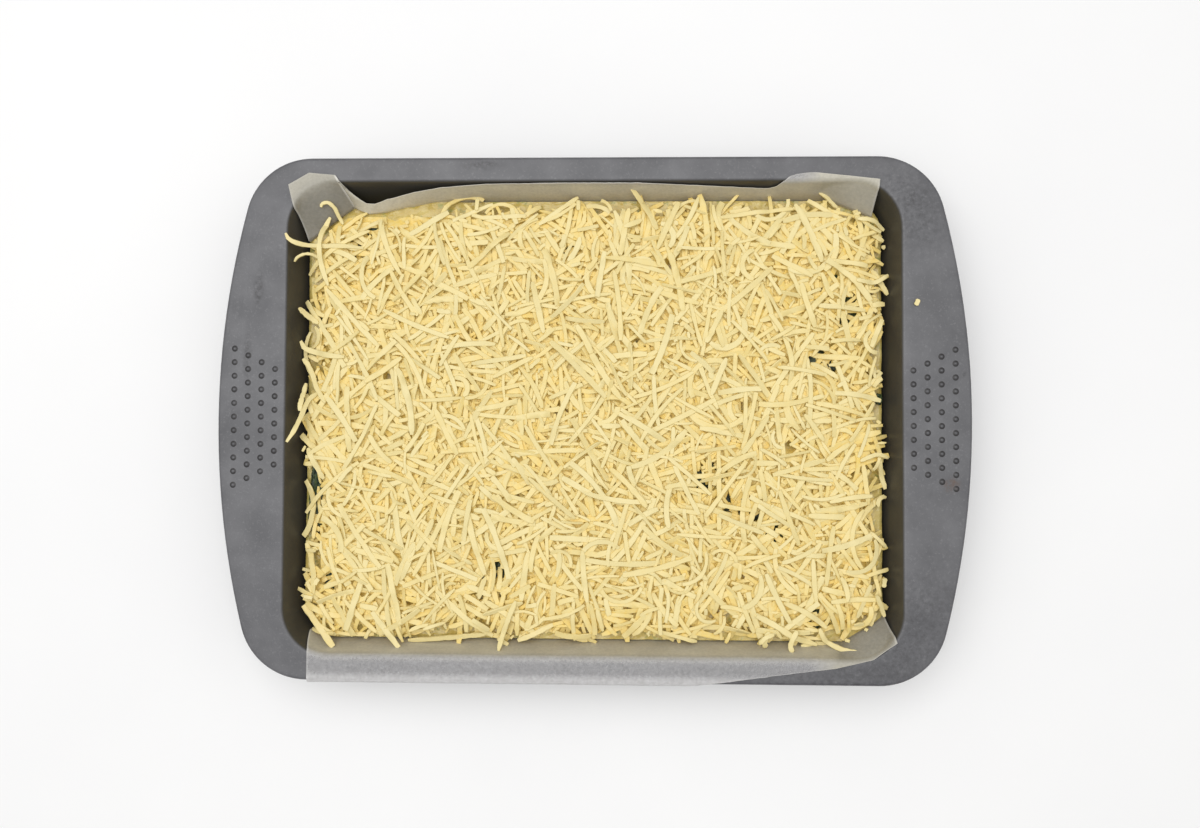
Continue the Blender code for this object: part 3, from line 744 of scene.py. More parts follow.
def onTin(x, y, clearance):
    # height of paper that lies on the tin's wall, bend or rim
    bend = tinShape["bendRadius"] + clearance
    inset = cavityInland(x, y)
    past = inset - bend * math.cos(tinShape["wallLean"])
    if past > 0:
        inset -= past
    centre = tinShape["height"] - tinShape["bendRadius"]
    height = centre + math.sqrt(bend * bend - max(0, inset) ** 2)
    return height - max(0, past) / math.tan(tinShape["wallLean"])


def flapPoint(flap, across, step, rimStep, top):
    # a point on a flap: straight from its foot to the cavity's top edge, then bent over the rim
    footX, footY = alongLine(flap[1], across)
    endX, endY = alongLine(flap[2], across)
    footInland, endInland = cavityInland(footX, footY), cavityInland(endX, endY)
    crossing = min(1, footInland / (footInland - endInland)) if endInland < 0 else 1
    up = np.interp(step, (0, max(rimStep, crossing), 1), (0, crossing, 1))
    x = footX + (endX - footX) * up
    y = footY + (endY - footY) * up
    foot = paperShape["flapFoot"]
    climb = 1 - cavityInland(x, y) / footInland
    rise = foot + (top + 1.5 * mm - foot) * climb
    return x, y, (rise + top - math.hypot(rise - top, 1 * mm)) / 2, climb


def paperSide(edge, ends, rows, side):
    # rows of points on one long side, from the base's fold up to the free edge; each with its masks
    steepest = math.pi / 2 - tinShape["wallLean"]
    onWall, onFlap, onRim, pastRim = paperShape["covers"]
    columns = paperShape["columns"]
    foodLine = paperShape["foodLine"]
    places, tops = zip(*edge)
    grid = []
    for step in range(paperShape["baseRows"] + 1):
        inset, height = foldPoint(steepest * step / paperShape["baseRows"], paperShape["offTin"])
        row = []
        for column in range(columns + 1):
            along = ends[0][0] + (ends[0][1] - ends[0][0]) * column / columns
            row.append(((*wallPlace(along * mm, inset, side), height), onWall, 1.0, 0.0, 0.0))
        grid.append(row)
    for step in range(rows + 1):
        row = []
        for column in range(columns + 1):
            atFood, atRim = (low + (high - low) * column / columns for low, high in ends)
            top = np.interp((atFood + atRim) / 2, places, tops)
            top += paperShape["torn"] * bumpy(atRim, 0, 4.0, 2.0 + side, 2)
            position = foodLine + (top - foodLine) * step / rows
            climb = min(1, max(0, 1 - position / foodLine))
            along = (atFood + (atRim - atFood) * climb) * mm
            off = paperOff(along, position * mm, side)
            inset, height = paperPath(position * mm, off)
            point = (*wallPlace(along, inset, side), height)
            if side > 0:
                lean = np.interp(atFood, *zip(*paperShape["leanIn"])) * (1 - climb) * mm
                point = (point[0], point[1] - lean, point[2])
            middle = (atFood + atRim) / 2
            lastMiddle = sum(pair[0 if middle < 0 else 1] for pair in ends) / 2
            flap, share, across = flapShare(side, middle, lastMiddle)
            rim = ease(-7, 2, position) * (1 - share)
            fold = 0
            if flap:
                rimStep = max(0, foodLine / (foodLine - top)) if top > 0 else 0
                *flat, climb = flapPoint(flap, across, step / rows, rimStep, tinShape["height"] + off)
                x, y, z = (a + (b - a) * share for a, b in zip(point, flat))
                point = (x, y, max(z, onTin(x, y, off)))
                if abs(flap[4]) < paperShape["sharpest"]:
                    near = 1 - abs(flap[3] - middle) / paperShape["foldWidth"]
                    fold = paperShape["foldHighlight"] * max(0, near)
            cover = onWall + (onFlap - onWall) * share
            cover += (onRim + (pastRim - onRim) * ease(5, 11, position) - cover) * rim
            # painted highlight along free edges and sharp folds
            free = paperShape["edgeHighlight"] if step == rows or column in (0, columns) else 0
            # painted shade: a little on the front wall part, more on the flaps, most low on them
            paintedShade = paperShape["frontShade"] * (1 - rim) if side < 0 else 0
            if flap:
                paintedShade = max(paintedShade, share * flap[5] * (1 - 0.5 * ease(0.5, 1.3, climb)))
            # the wall part warmer with painted warm light from the food; the rim part cool
            row.append((point, cover, 1 - 0.9 * rim, paintedShade, max(free, fold)))
        grid.append(row)
    return grid


def makePaper(material):
    back = paperSide(paperShape["backEdge"], paperShape["backEnds"], paperShape["backRows"], 1)
    front = paperSide(paperShape["frontEdge"], paperShape["frontEnds"], paperShape["frontRows"], -1)
    rows = list(reversed(back)) + front
    points, cover, foodLight, paintedShade, crease = zip(*(place for row in rows for place in row))
    faces = ringFaces(len(rows), len(rows[0]), closed=False)
    paper = meshPiece("linerPaper", points, [face[::-1] for face in faces], material)
    addMask(paper, "paperCover", cover)
    addMask(paper, "paperFoodLight", foodLight)
    addMask(paper, "paperShade", paintedShade)
    addMask(paper, "paperHighlight", crease)
    thicken(paper, paperShape["thickness"], 1)
    settle(paper, "baking_paper", "baking_paper")


paperLook = {
    # paper on the wall, tinted with painted warm light from the food
    "warmDark": (0.585, 0.55, 0.445, 1),
    "warmLight": (0.655, 0.62, 0.515, 1),
    # painted shade colours for the flaps and the front wall
    "shadeDark": (0.265, 0.25, 0.212, 1),
    "shadeLight": (0.315, 0.30, 0.258, 1),
    "coolDark": (0.60, 0.59, 0.60, 1),
    "coolLight": (0.70, 0.695, 0.71, 1),
    # painted highlight colour along free edges and sharp folds
    "crease": (0.84, 0.83, 0.79, 1),
    "fibre": 0.06,              # how much the fibres change the cover
    "roughness": 0.42,
}


def makePaperMaterial():
    material, tree, shader = newMaterial("greaseproofPaper", paperLook["roughness"])
    warm = addTone(tree, 90.0, 0.3, 0.7, paperLook["warmDark"], paperLook["warmLight"])
    cool = addTone(tree, 420.0, 0.35, 0.65, paperLook["coolDark"], paperLook["coolLight"])
    paintedShade = addTone(tree, 60.0, 0.3, 0.7, paperLook["shadeDark"], paperLook["shadeLight"])
    crease = readMask(tree, "paperHighlight")
    # painted warm light from the food on the wall part, cool paper on the rim
    colour = mixColours(tree, readMask(tree, "paperFoodLight"), cool.outputs["Colour"], warm.outputs["Colour"])
    # painted shade on the flaps and the front wall
    colour = mixColours(tree, readMask(tree, "paperShade"), colour, paintedShade.outputs["Colour"])
    # painted highlight along free edges and sharp folds
    colour = mixColours(tree, crease, colour, paperLook["crease"])
    tree.links.new(colour, shader.inputs["Base Color"])
    fibres = addTone(tree, 700.0, 0.35, 0.65)
    shift = addNode(tree, "ShaderNodeMapRange",
                    {"To Min": -paperLook["fibre"], "To Max": paperLook["fibre"]})
    varied = addNode(tree, "ShaderNodeMath", operation="ADD")
    opaque = addNode(tree, "ShaderNodeMath", operation="ADD", use_clamp=True)
    tree.links.new(readMask(tree, "paperCover"), varied.inputs[0])
    tree.links.new(crease, opaque.inputs[1])
    connect(tree,
            (fibres, "Mask", shift, "Value"), (shift, "Result", varied, 1),
            (varied, "Value", opaque, 0), (opaque, "Value", shader, "Alpha"))
    addGrain(tree, shader, 900.0, 0.2, 0.3, 0.1 * mm)
    return material


makePaper(makePaperMaterial())
print("baking paper made")


# the egg mixture

mixtureShape = {
    "offTin": 1.65 * mm,
    "top": 30.5 * mm,
    "sink": 1.6 * mm,
    "margin": 14 * mm,
    "lump": 0.7 * mm,
    "ripple": 0.3 * mm,
    "cells": (190, 146),
    "wallSteps": 5,
    "behindPaper": 13 * mm,     # how much lower it is behind the leaning paper
}


def roundedPlace(u, v, halfLength, halfWidth, corner):
    # a place in a rounded rectangle, u and v from -1 to 1; rows crowd together at the ends
    y = halfWidth * math.sin(v * math.pi / 2)
    over = max(0, abs(y) - (halfWidth - corner))
    reach = halfLength - corner + math.sqrt(max(0, corner * corner - over * over))
    return u * reach, y


def mixtureTop(x, y):
    # lower and lumpier by the wall
    wall = wallInset(mixtureShape["top"])
    inland = min(tinShape["cavityHalfLength"] - wall - abs(x), tinShape["cavityHalfWidth"] - wall - abs(y))
    share = min(1, max(0, 1.6 - inland / mixtureShape["margin"]))
    lumps = 0.5 + 0.5 * bumpy(x, y, 17 * mm, 0.0, 2)
    relief = mixtureShape["lump"] * bumpy(x, y, 6 * mm, 4.0)
    relief += mixtureShape["ripple"] * bumpy(x, y, 1.8 * mm, 6.0)
    lean = stripLean(x)
    behind = y - (tinShape["cavityHalfWidth"] - wall - lean)
    relief -= mixtureShape["behindPaper"] * ease(0.6 * mm, 2 * mm, behind) * min(1, lean / (3 * mm))
    return mixtureShape["top"] - mixtureShape["sink"] * share * lumps + relief - 0.3 * mm


def insideBack(x, y, z):
    # the place moved in, where it would be past the back wall at its height
    return x, min(y, tinShape["cavityHalfWidth"] - wallInset(z, mixtureShape["offTin"])), z


def solidHeap(name, outlineAt, levels, topHeight, cells, material):
    # a grid top over a rounded outline, with a skirt down to a flat foot
    columns, rows = cells
    points = []
    for row in range(rows + 1):
        for column in range(columns + 1):
            x, y = roundedPlace(2 * column / columns - 1, 2 * row / rows - 1, *outlineAt(0))
            points.append(insideBack(x, y, topHeight(x, y)))
    faces = ringFaces(rows + 1, columns + 1, closed=False)
    edge = [(column, 0) for column in range(columns)]
    edge += [(columns, row) for row in range(rows)]
    edge += [(column, rows) for column in range(columns, 0, -1)]
    edge += [(0, row) for row in range(rows, 0, -1)]
    upper = [row * (columns + 1) + column for column, row in edge]
    tops = [points[index][2] for index in upper]
    for step, level in enumerate(levels, 1):
        lower = []
        for (column, row), top in zip(edge, tops):
            x, y = roundedPlace(2 * column / columns - 1, 2 * row / rows - 1, *outlineAt(step))
            lower.append(len(points))
            points.append(insideBack(x, y, min(level, top - 0.05 * mm * step)))
        for index in range(len(edge)):
            after = (index + 1) % len(edge)
            faces.append((upper[index], lower[index], lower[after], upper[after]))
        upper = lower
    faces.append(tuple(reversed(upper)))
    return meshPiece(name, points, faces, material)


def makeMixture(material):
    foot = foldPoint(math.pi / 2 - tinShape["wallLean"], mixtureShape["offTin"])[1]
    steps = mixtureShape["wallSteps"]
    start = mixtureShape["top"] - 3 * mm
    levels = [start + (foot - start) * step / steps for step in range(steps + 1)]
    insets = [wallInset(start, mixtureShape["offTin"])]
    insets += [wallInset(level, mixtureShape["offTin"]) for level in levels]
    for step in range(1, tinShape["foldSteps"]):
        angle = (math.pi / 2 - tinShape["wallLean"]) * (1 - step / tinShape["foldSteps"])
        inset, level = foldPoint(angle, mixtureShape["offTin"])
        insets.append(inset)
        levels.append(level)

    def outlineAt(step):
        inset = insets[step]
        return (tinShape["cavityHalfLength"] - inset, tinShape["cavityHalfWidth"] - inset,
                tinShape["cavityCorner"] - inset)

    mixture = solidHeap("eggMixture", outlineAt, levels, mixtureTop, mixtureShape["cells"], material)
    settle(mixture, "egg_mixture", "egg_mixture")


mixtureLook = {
    "egg": (0.49, 0.36, 0.082, 1),
    "cream": (0.61, 0.495, 0.175, 1),
    "olive": (0.36, 0.34, 0.10, 1),
    "roughness": 0.28,
}


def makeMixtureMaterial():
    material, tree, shader = newMaterial("rawEggMixture", mixtureLook["roughness"])
    tone = addTone(tree, 140.0, 0.38, 0.62, mixtureLook["egg"], mixtureLook["cream"])
    patches = addTone(tree, 210.0, 0.56, 0.66)
    colour = mixColours(tree, patches.outputs["Mask"], tone.outputs["Colour"], mixtureLook["olive"])
    tree.links.new(colour, shader.inputs["Base Color"])
    addGrain(tree, shader, 500.0, 0.8, 0.5, 0.4 * mm)
    return material


makeMixture(makeMixtureMaterial())
print("egg mixture made")


# the dark green leaf pieces: node, centre x and y, length, width in mm, turn in degrees;
# a bit without a node is too small to have one

leafPieces = [
    ("leaf_left_edge", -135.5, -40, 32, 7, 90),
    ("leaf_back_left", -117.5, 81, 14, 10, 60),
    ("leaf_front_left", -127, -80, 12, 8, 110),
    ("leaf_front", -48, -80, 20, 12, 75),
    ("leaf_centre_left", 56, -28, 16, 10, 35),
    ("leaf_centre", 73, -43, 19, 11, -20),
    ("leaf_centre_right", 88, -56, 12, 9, 80),
    ("leaf_right", 124, 52, 18, 8, 75),
    ("leaf_right_middle", 111, 28, 17, 10, -35),
    ("leaf_front_right", 110, -96, 13, 9, 20),
    ("", -133, 47, 7, 4, 70), ("", 139, 10, 5, 3.5, 80), ("", -12, 83, 7, 4, 20), ("", -55, 98, 6, 4, 160),
    ("", -79, -32, 5, 4, 30), ("", -64, -58, 6, 3, 75), ("", 118, 68, 6, 4, 110), ("", -109, 92, 5, 4, 0),
]
leafShape = {
    "base": 31.1 * mm,
    "thickness": 0.35 * mm,
    "wave": 1.1 * mm,
    "crinkle": 0.35 * mm,
    "taper": 0.8,
    "ragged": 0.26,
    "cells": (36, 20),
}


def makeLeaf(index, piece, material):
    node, centreX, centreY, length, width, turn = piece
    columns, rows = leafShape["cells"]
    cos, sin = math.cos(math.radians(turn)), math.sin(math.radians(turn))
    points = []
    for row in range(rows + 1):
        for column in range(columns + 1):
            share = 2 * column / columns - 1
            across = 2 * row / rows - 1
            ragged = 1 + leafShape["ragged"] * bumpy(share, across, 0.32, index * 3.0)
            x = share * length / 2 * mm * ragged
            y = across * width / 2 * mm * math.sqrt(1 - leafShape["taper"] * share * share) * ragged
            wave = leafShape["wave"] * (0.5 + 0.5 * math.sin(3.1 * share + 2.3 * across + turn))
            crinkle = leafShape["crinkle"] * bumpy(x, y, 2.6 * mm, index)
            points.append((centreX * mm + x * cos - y * sin, centreY * mm + x * sin + y * cos,
                           leafShape["base"] + wave + crinkle))
    faces = ringFaces(rows + 1, columns + 1, closed=False)
    leaf = meshPiece("greenLeaf" + str(index + 1), points, faces, material)
    thicken(leaf, leafShape["thickness"], 1, even=False)
    settle(leaf, "green_leaf", *([node] if node else []))


leafLook = {
    "dark": (0.010, 0.022, 0.012, 1),
    "light": (0.058, 0.088, 0.022, 1),
    "roughness": 0.5,
}


def makeLeafMaterial():
    material, tree, shader = newMaterial("darkLeaf", leafLook["roughness"])
    tone = addTone(tree, 380.0, 0.4, 0.65, leafLook["dark"], leafLook["light"])
    connect(tree, (tone, "Colour", shader, "Base Color"))
    addGrain(tree, shader, 700.0, 0.9, 0.5, 0.3 * mm)
    return material


leafMaterial = makeLeafMaterial()
for index, piece in enumerate(leafPieces):
    makeLeaf(index, piece, leafMaterial)
print("leaf pieces made")


# the grated cheese: a low lumpy core, and shreds dropped on it one by one over a height map

cheeseCore = {
    "bottom": 30.2 * mm,
    "depth": 3.1 * mm,
    "edgeDepth": 0.4 * mm,
    "edgeSlope": 14 * mm,
    "lump": 1.3 * mm,
    "lumpSize": 26 * mm,
    "ridge": 0.7 * mm,
    "inset": 15.5 * mm,
    "corner": 16 * mm,
    "cells": (240, 180),
    "pocket": 1.2,              # how far past a leaf its hole in the core reaches
    "holeDrop": 0.8 * mm,
}
cheeseHeap = {
    "seed": 11,
    "cell": 0.5 * mm,
    "coarse": 4,                # cells that share one starting height
    "reach": (156 * mm, 132 * mm),
    "halfLength": 142.3 * mm,
    "halfWidth": 108.6 * mm,
    "corner": 17 * mm,
    "wander": 7.2 * mm,         # how far the heap's edge wanders inwards
    "wanderMix": (0.36, 0.6, 0.35),         # mean, broad and fine part of it
    "pokeOut": 0.42,            # share of the shreds that may reach past the heap's edge
    "pokeReach": 6 * mm,
    "edgeBand": 12 * mm,        # shreds avoid this band inside the heap's edge, this strongly
    "edgeShy": 0.3,
    "candidates": 7,
    "bowSpread": 0.6,
    "curled": 0.08,             # share of the shreds that are strongly curved
    "curl": (1.2, 2.8),         # how far such a shred turns from end to end, in radians
    "tip": (0.45, 1.0),         # width of a shred's ends against its middle
    "shadeAndTone": (0.65, 0.35),   # how much of a shred's tone is painted shade by its place in the heap, lower ones darker and more golden, and how much is by chance
    "droop": 50.0,              # 1/m: how sharply a shred bends down off what it lies on
    "press": 0.62,              # share of its thickness that a shred adds to the heap
    "paperEnd": 147 * mm,       # the walls are bare past this distance from the middle
    "overLeaf": 0.22,           # chance that a shred may lie over a leaf
    "samplesPerStep": 3,
    "straySteps": 15,
    "strayThickness": 1.2 * mm,
    "strayTip": 0.5,
    "strayTone": 0.9,
    "sharpAngle": 40,           # degrees: a shred's flat faces meet in crisp edges
}
shredKinds = {
    "thinShreds": {"count": 900, "length": (9, 23), "width": (1.2, 2.0), "thickness": (0.65, 0.95),
                   "bow": 0.7, "steps": 7},
    "longShreds": {"count": 480, "length": (25, 39), "width": (2.1, 3.2), "thickness": (0.8, 1.15),
                   "bow": 0.5, "steps": 13},
    "mediumShreds": {"count": 1650, "length": (14, 27), "width": (1.7, 3.0), "thickness": (0.75, 1.15),
                     "bow": 0.45, "steps": 9},
    "shortShreds": {"count": 900, "length": (5, 14), "width": (1.6, 2.8), "thickness": (0.75, 1.15),
                    "bow": 0.6, "steps": 5},
    "crumbs": {"count": 900, "length": (1.8, 5), "width": (1.1, 2.3), "thickness": (0.7, 1.1),
               "bow": 0.5, "steps": 2},
}
# places where the mixture shows through the cheese: x, y and reach in mm
baldSpots = [
    (-98, 104, 9), (-80, 105, 10), (-63, 106, 14), (-45, 108, 9), (-22, 108, 12), (13, 106, 8),
    (84, 108, 12), (120, 104, 7), (-139, 67, 13), (-139, 51, 12), (-139, 34, 12), (-137, 18, 9),
    (-138, -70, 8), (-59, -106, 14), (-84, -106, 8), (62, -107, 13), (140, -48, 7), (141, 30, 6),
    (140, -78, 6), (24, 38, 5), (53, -25, 5), (-35, -35, 6), (-16, 4, 6), (72, 7, 5), (-99, 20, 5),
    (97, -12, 5), (-8, -62, 5), (40, 76, 5), (-90, -88, 5), (-60, 40, 5), (20, -92, 5), (128, -25, 5),
    (-52, -84, 7), (66, -36, 7), (44, -73, 5), (9, -33, 6), (62, -98, 9), (134, -30, 8), (134, -47, 8),
    (76, -75, 5), (104, -33, 5), (119, 33, 6), (112, 62, 6),
]
# shreds laid one by one: points as x, y and least height in mm, and width in mm
strayShreds = [
    ([(-147.9, 88.7, 46), (-146, 85.5, 45.2), (-140.3, 83.6, 42), (-131.7, 83.8, 38), (-121.7, 83.8, 34),
      (-112.2, 83.1, 34)], 2.2),
    ([(-145.2, 75.8, 38), (-143.7, 78.1, 39), (-140.2, 79.7, 39), (-137.0, 79.6, 38), (-134.3, 78.3, 36),
      (-132.0, 76.8, 34)], 1.5),
    ([(-129.4, 98.6, 34), (-132.0, 93.0, 34), (-133.0, 86.7, 34), (-133.1, 80.4, 34), (-132.6, 74.8, 34),
      (-129.3, 64.5, 34)], 2.6),
    ([(-132.4, 102.4, 34), (-131.9, 104, 34), (-129.1, 104.7, 34), (-126.4, 102.6, 34), (-124.8, 98.7, 34),
      (-123, 95.3, 34)], 1.9),
    ([(-146, -12.1, 45.7), (-142.9, -6.8, 44.5), (-140.7, 0, 41), (-138.2, 8.4, 37),
      (-133.8, 12.4, 34)], 2.3),
    ([(-139.8, 16.7, 36), (-140.8, 10, 37), (-141.5, 3, 36)], 2.4),
    ([(-89.2, -108.3, 32), (-73.1, -107.2, 32), (-51.2, -105, 32)], 2.6),
    ([(-36, -88, 32), (-41.5, -102.5, 32), (-43.9, -111.6, 32)], 2.5),
    ([(110.1, 110.4, 32), (113.9, 108, 32), (119, 103, 32)], 2.2),
    ([(141.7, 92, 32), (136, 96, 32), (128, 97, 32)], 2.2),
    ([(143, 69.9, 32), (136, 66, 32), (127, 67, 32)], 2.2),
    ([(142.6, -18.5, 32), (137, -17, 32), (129, -20, 32)], 2.2),
    ([(128.6, -110.9, 32), (122, -110.2, 32), (117.3, -108.8, 32), (112.2, -105.8, 32), (109.5, -100, 32)],
     2.4),
    ([(108.8, -108.6, 32), (97.2, -104.3, 32), (88.7, -98.9, 32), (79.2, -94, 32)], 2.9),
    ([(96.3, -111.2, 32), (95.6, -107.5, 32), (98.5, -101, 32)], 2.6),
    ([(83.8, -109.6, 32), (83.2, -106, 32), (85.2, -101.5, 32)], 2.8),
    ([(80.6, -107.4, 32), (83.3, -104.5, 32), (87.6, -102.8, 32)], 2.2),
    ([(136.2, -84, 34), (138.6, -89.6, 35), (140.3, -94.2, 36)], 2.2),
    ([(141, -76, 34), (140.4, -80.5, 34)], 2.2),
    ([(131.5, -100.3, 33), (133, -101.2, 33)], 1.7),
    ([(122, -105.8, 33), (124.4, -106.4, 33)], 1.7),
    ([(-143.2, 53.4, 38), (-139.6, 49.9, 37), (-134.5, 46, 34)], 2.9),
    ([(-142.4, 37.3, 37), (-139.4, 33.2, 36), (-128, 30.2, 34), (-120.5, 29.5, 34)], 2.7),
    ([(-141.6, 28.6, 36), (-138.6, 24.9, 36), (-134.9, 15.2, 34), (-130, 7, 34)], 2.5),
    ([(-56.5, 108, 33), (-57, 101.5, 33)], 2.0),
    ([(-7.1, 106.8, 33), (-7.1, 101.5, 33)], 2.0),
    ([(153.4, 53.8, 45), (154.8, 56.6, 45)], 2.2),
]


def leafShare(x, y):
    # under 1 inside a leaf piece, for the nearest one
    nearest = 9.0
    for _, centreX, centreY, length, width, turn in leafPieces:
        cos, sin = math.cos(math.radians(turn)), math.sin(math.radians(turn))
        across = x - centreX * mm
        along = y - centreY * mm
        u = (across * cos + along * sin) / (length / 2 * mm)
        v = (along * cos - across * sin) / (width / 2 * mm)
        nearest = min(nearest, math.hypot(u, v))
    return nearest


def baldShare(x, y):
    # 1 in the middle of a bald spot, 0 outside
    return max(ease(reach, reach * 0.5, math.hypot(x / mm - spotX, y / mm - spotY))
               for spotX, spotY, reach in baldSpots)


def coreTop(x, y):
    inset = cheeseCore["inset"]
    inland = min(tinShape["cavityHalfLength"] - inset - abs(x), tinShape["cavityHalfWidth"] - inset - abs(y))
    rise = ease(-2 * mm, cheeseCore["edgeSlope"], inland)
    lumps = noise.noise(Vector((x, y, 0)) / cheeseCore["lumpSize"])
    edge = cheeseCore["edgeDepth"]
    depth = edge + (cheeseCore["depth"] - edge + cheeseCore["lump"] * lumps) * rise
    depth += cheeseCore["ridge"] * abs(bumpy(x, y, 3.2 * mm, 8.0, 2))
    pocket = cheeseCore["pocket"]
    hole = max(baldShare(x, y), ease(pocket + 0.35, pocket - 0.1, leafShare(x, y)))
    return cheeseCore["bottom"] + depth * (1 - hole) - cheeseCore["holeDrop"] * hole


def pastFlap(x, y):
    # how far behind the foot of the nearest paper flap a place lies
    most = -1.0
    for _, ((endX, endY), (startX, startY)), *_ in paperShape["flaps"]:
        alongX, alongY = endX - startX, endY - startY
        length = math.hypot(alongX, alongY)
        behind = ((x - startX * mm) * alongY - (y - startY * mm) * alongX) / length
        middle = startY * alongX - startX * alongY      # which side the tin's middle is on
        most = max(most, -behind if middle > 0 else behind)
    return most


def heapLimit(x, y):
    # how far inside the heap's wandering edge a place lies, in metres
    mean, broad, fine = cheeseHeap["wanderMix"]
    wander = mean + broad * bumpy(x, y, 22 * mm, 12.0, 2) + fine * bumpy(x, y, 7 * mm, 15.0, 1)
    inland = roundedInland(x, y, cheeseHeap["halfLength"], cheeseHeap["halfWidth"], cheeseHeap["corner"])
    stripFoot = cheeseHeap["halfWidth"] - stripLean(x) - y
    return min(inland, stripFoot, -pastFlap(x, y)) - max(0, cheeseHeap["wander"] * wander)


def makeCore(material):
    inset = cheeseCore["inset"]

    def outlineAt(step):
        return (tinShape["cavityHalfLength"] - inset, tinShape["cavityHalfWidth"] - inset,
                cheeseCore["corner"])

    core = solidHeap("cheeseCore", outlineAt, [29.6 * mm], coreTop, cheeseCore["cells"], material)
    settle(core, "grated_cheese", "grated_cheese")


def startHeights():
    # height map of what the shreds fall on: mixture, core, leaves, walls and rim
    cell = cheeseHeap["cell"]
    reachX, reachY = cheeseHeap["reach"]
    xs = np.arange(-reachX, reachX, cell)
    ys = np.arange(-reachY, reachY, cell)
    gridX, gridY = np.meshgrid(xs, ys)
    corner = tinShape["cavityCorner"]
    overX = np.abs(gridX) - (tinShape["cavityHalfLength"] - corner)
    overY = np.abs(gridY) - (tinShape["cavityHalfWidth"] - corner)
    inland = corner - np.hypot(np.maximum(overX, 0), np.maximum(overY, 0))
    inland = np.where((overX > 0) & (overY > 0), inland, corner - np.maximum(overX, overY))
    top = tinShape["height"] + np.where(np.abs(gridX) > cheeseHeap["paperEnd"], 0.1 * mm, 0.9 * mm)
    wall = top - np.maximum(0, inland - 1.5 * mm) / math.tan(tinShape["wallLean"])
    heights = np.full(gridX.shape, 0.0)
    step = cheeseHeap["coarse"]
    for row in range(0, len(ys), step):
        for column in range(0, len(xs), step):
            x, y = xs[column], ys[row]
            top = mixtureShape["top"]
            if heapLimit(x, y) > 3 * mm:
                top = max(top, coreTop(x, y))
            if leafShare(x, y) < 1:
                top = leafShape["base"] + leafShape["wave"]
            behind = pastFlap(x, y)
            if behind > 0:
                top = paperShape["flapFoot"] + 0.9 * behind
            heights[row:row + step, column:column + step] = top
    return np.maximum(heights, wall)


def smoothLine(points, count):
    # evenly spaced points on a smooth curve through a few
    points = np.array(points, float)
    padded = np.vstack([2 * points[0] - points[1], points, 2 * points[-1] - points[-2]])
    curve = []
    for index in range(1, len(padded) - 2):
        before, start, end, after = padded[index - 1:index + 3]
        for share in np.linspace(0, 1, 12, endpoint=False):
            curve.append(0.5 * (2 * start + (end - before) * share
                                + (2 * before - 5 * start + 4 * end - after) * share ** 2
                                + (3 * start - before - 3 * end + after) * share ** 3))
    curve = np.array(curve + [points[-1]])
    travelled = np.concatenate([[0], np.cumsum(np.linalg.norm(np.diff(curve, axis=0), axis=1))])
    even = np.linspace(0, travelled[-1], count)
    return np.stack([np.interp(even, travelled, curve[:, axis]) for axis in range(3)], axis=1)


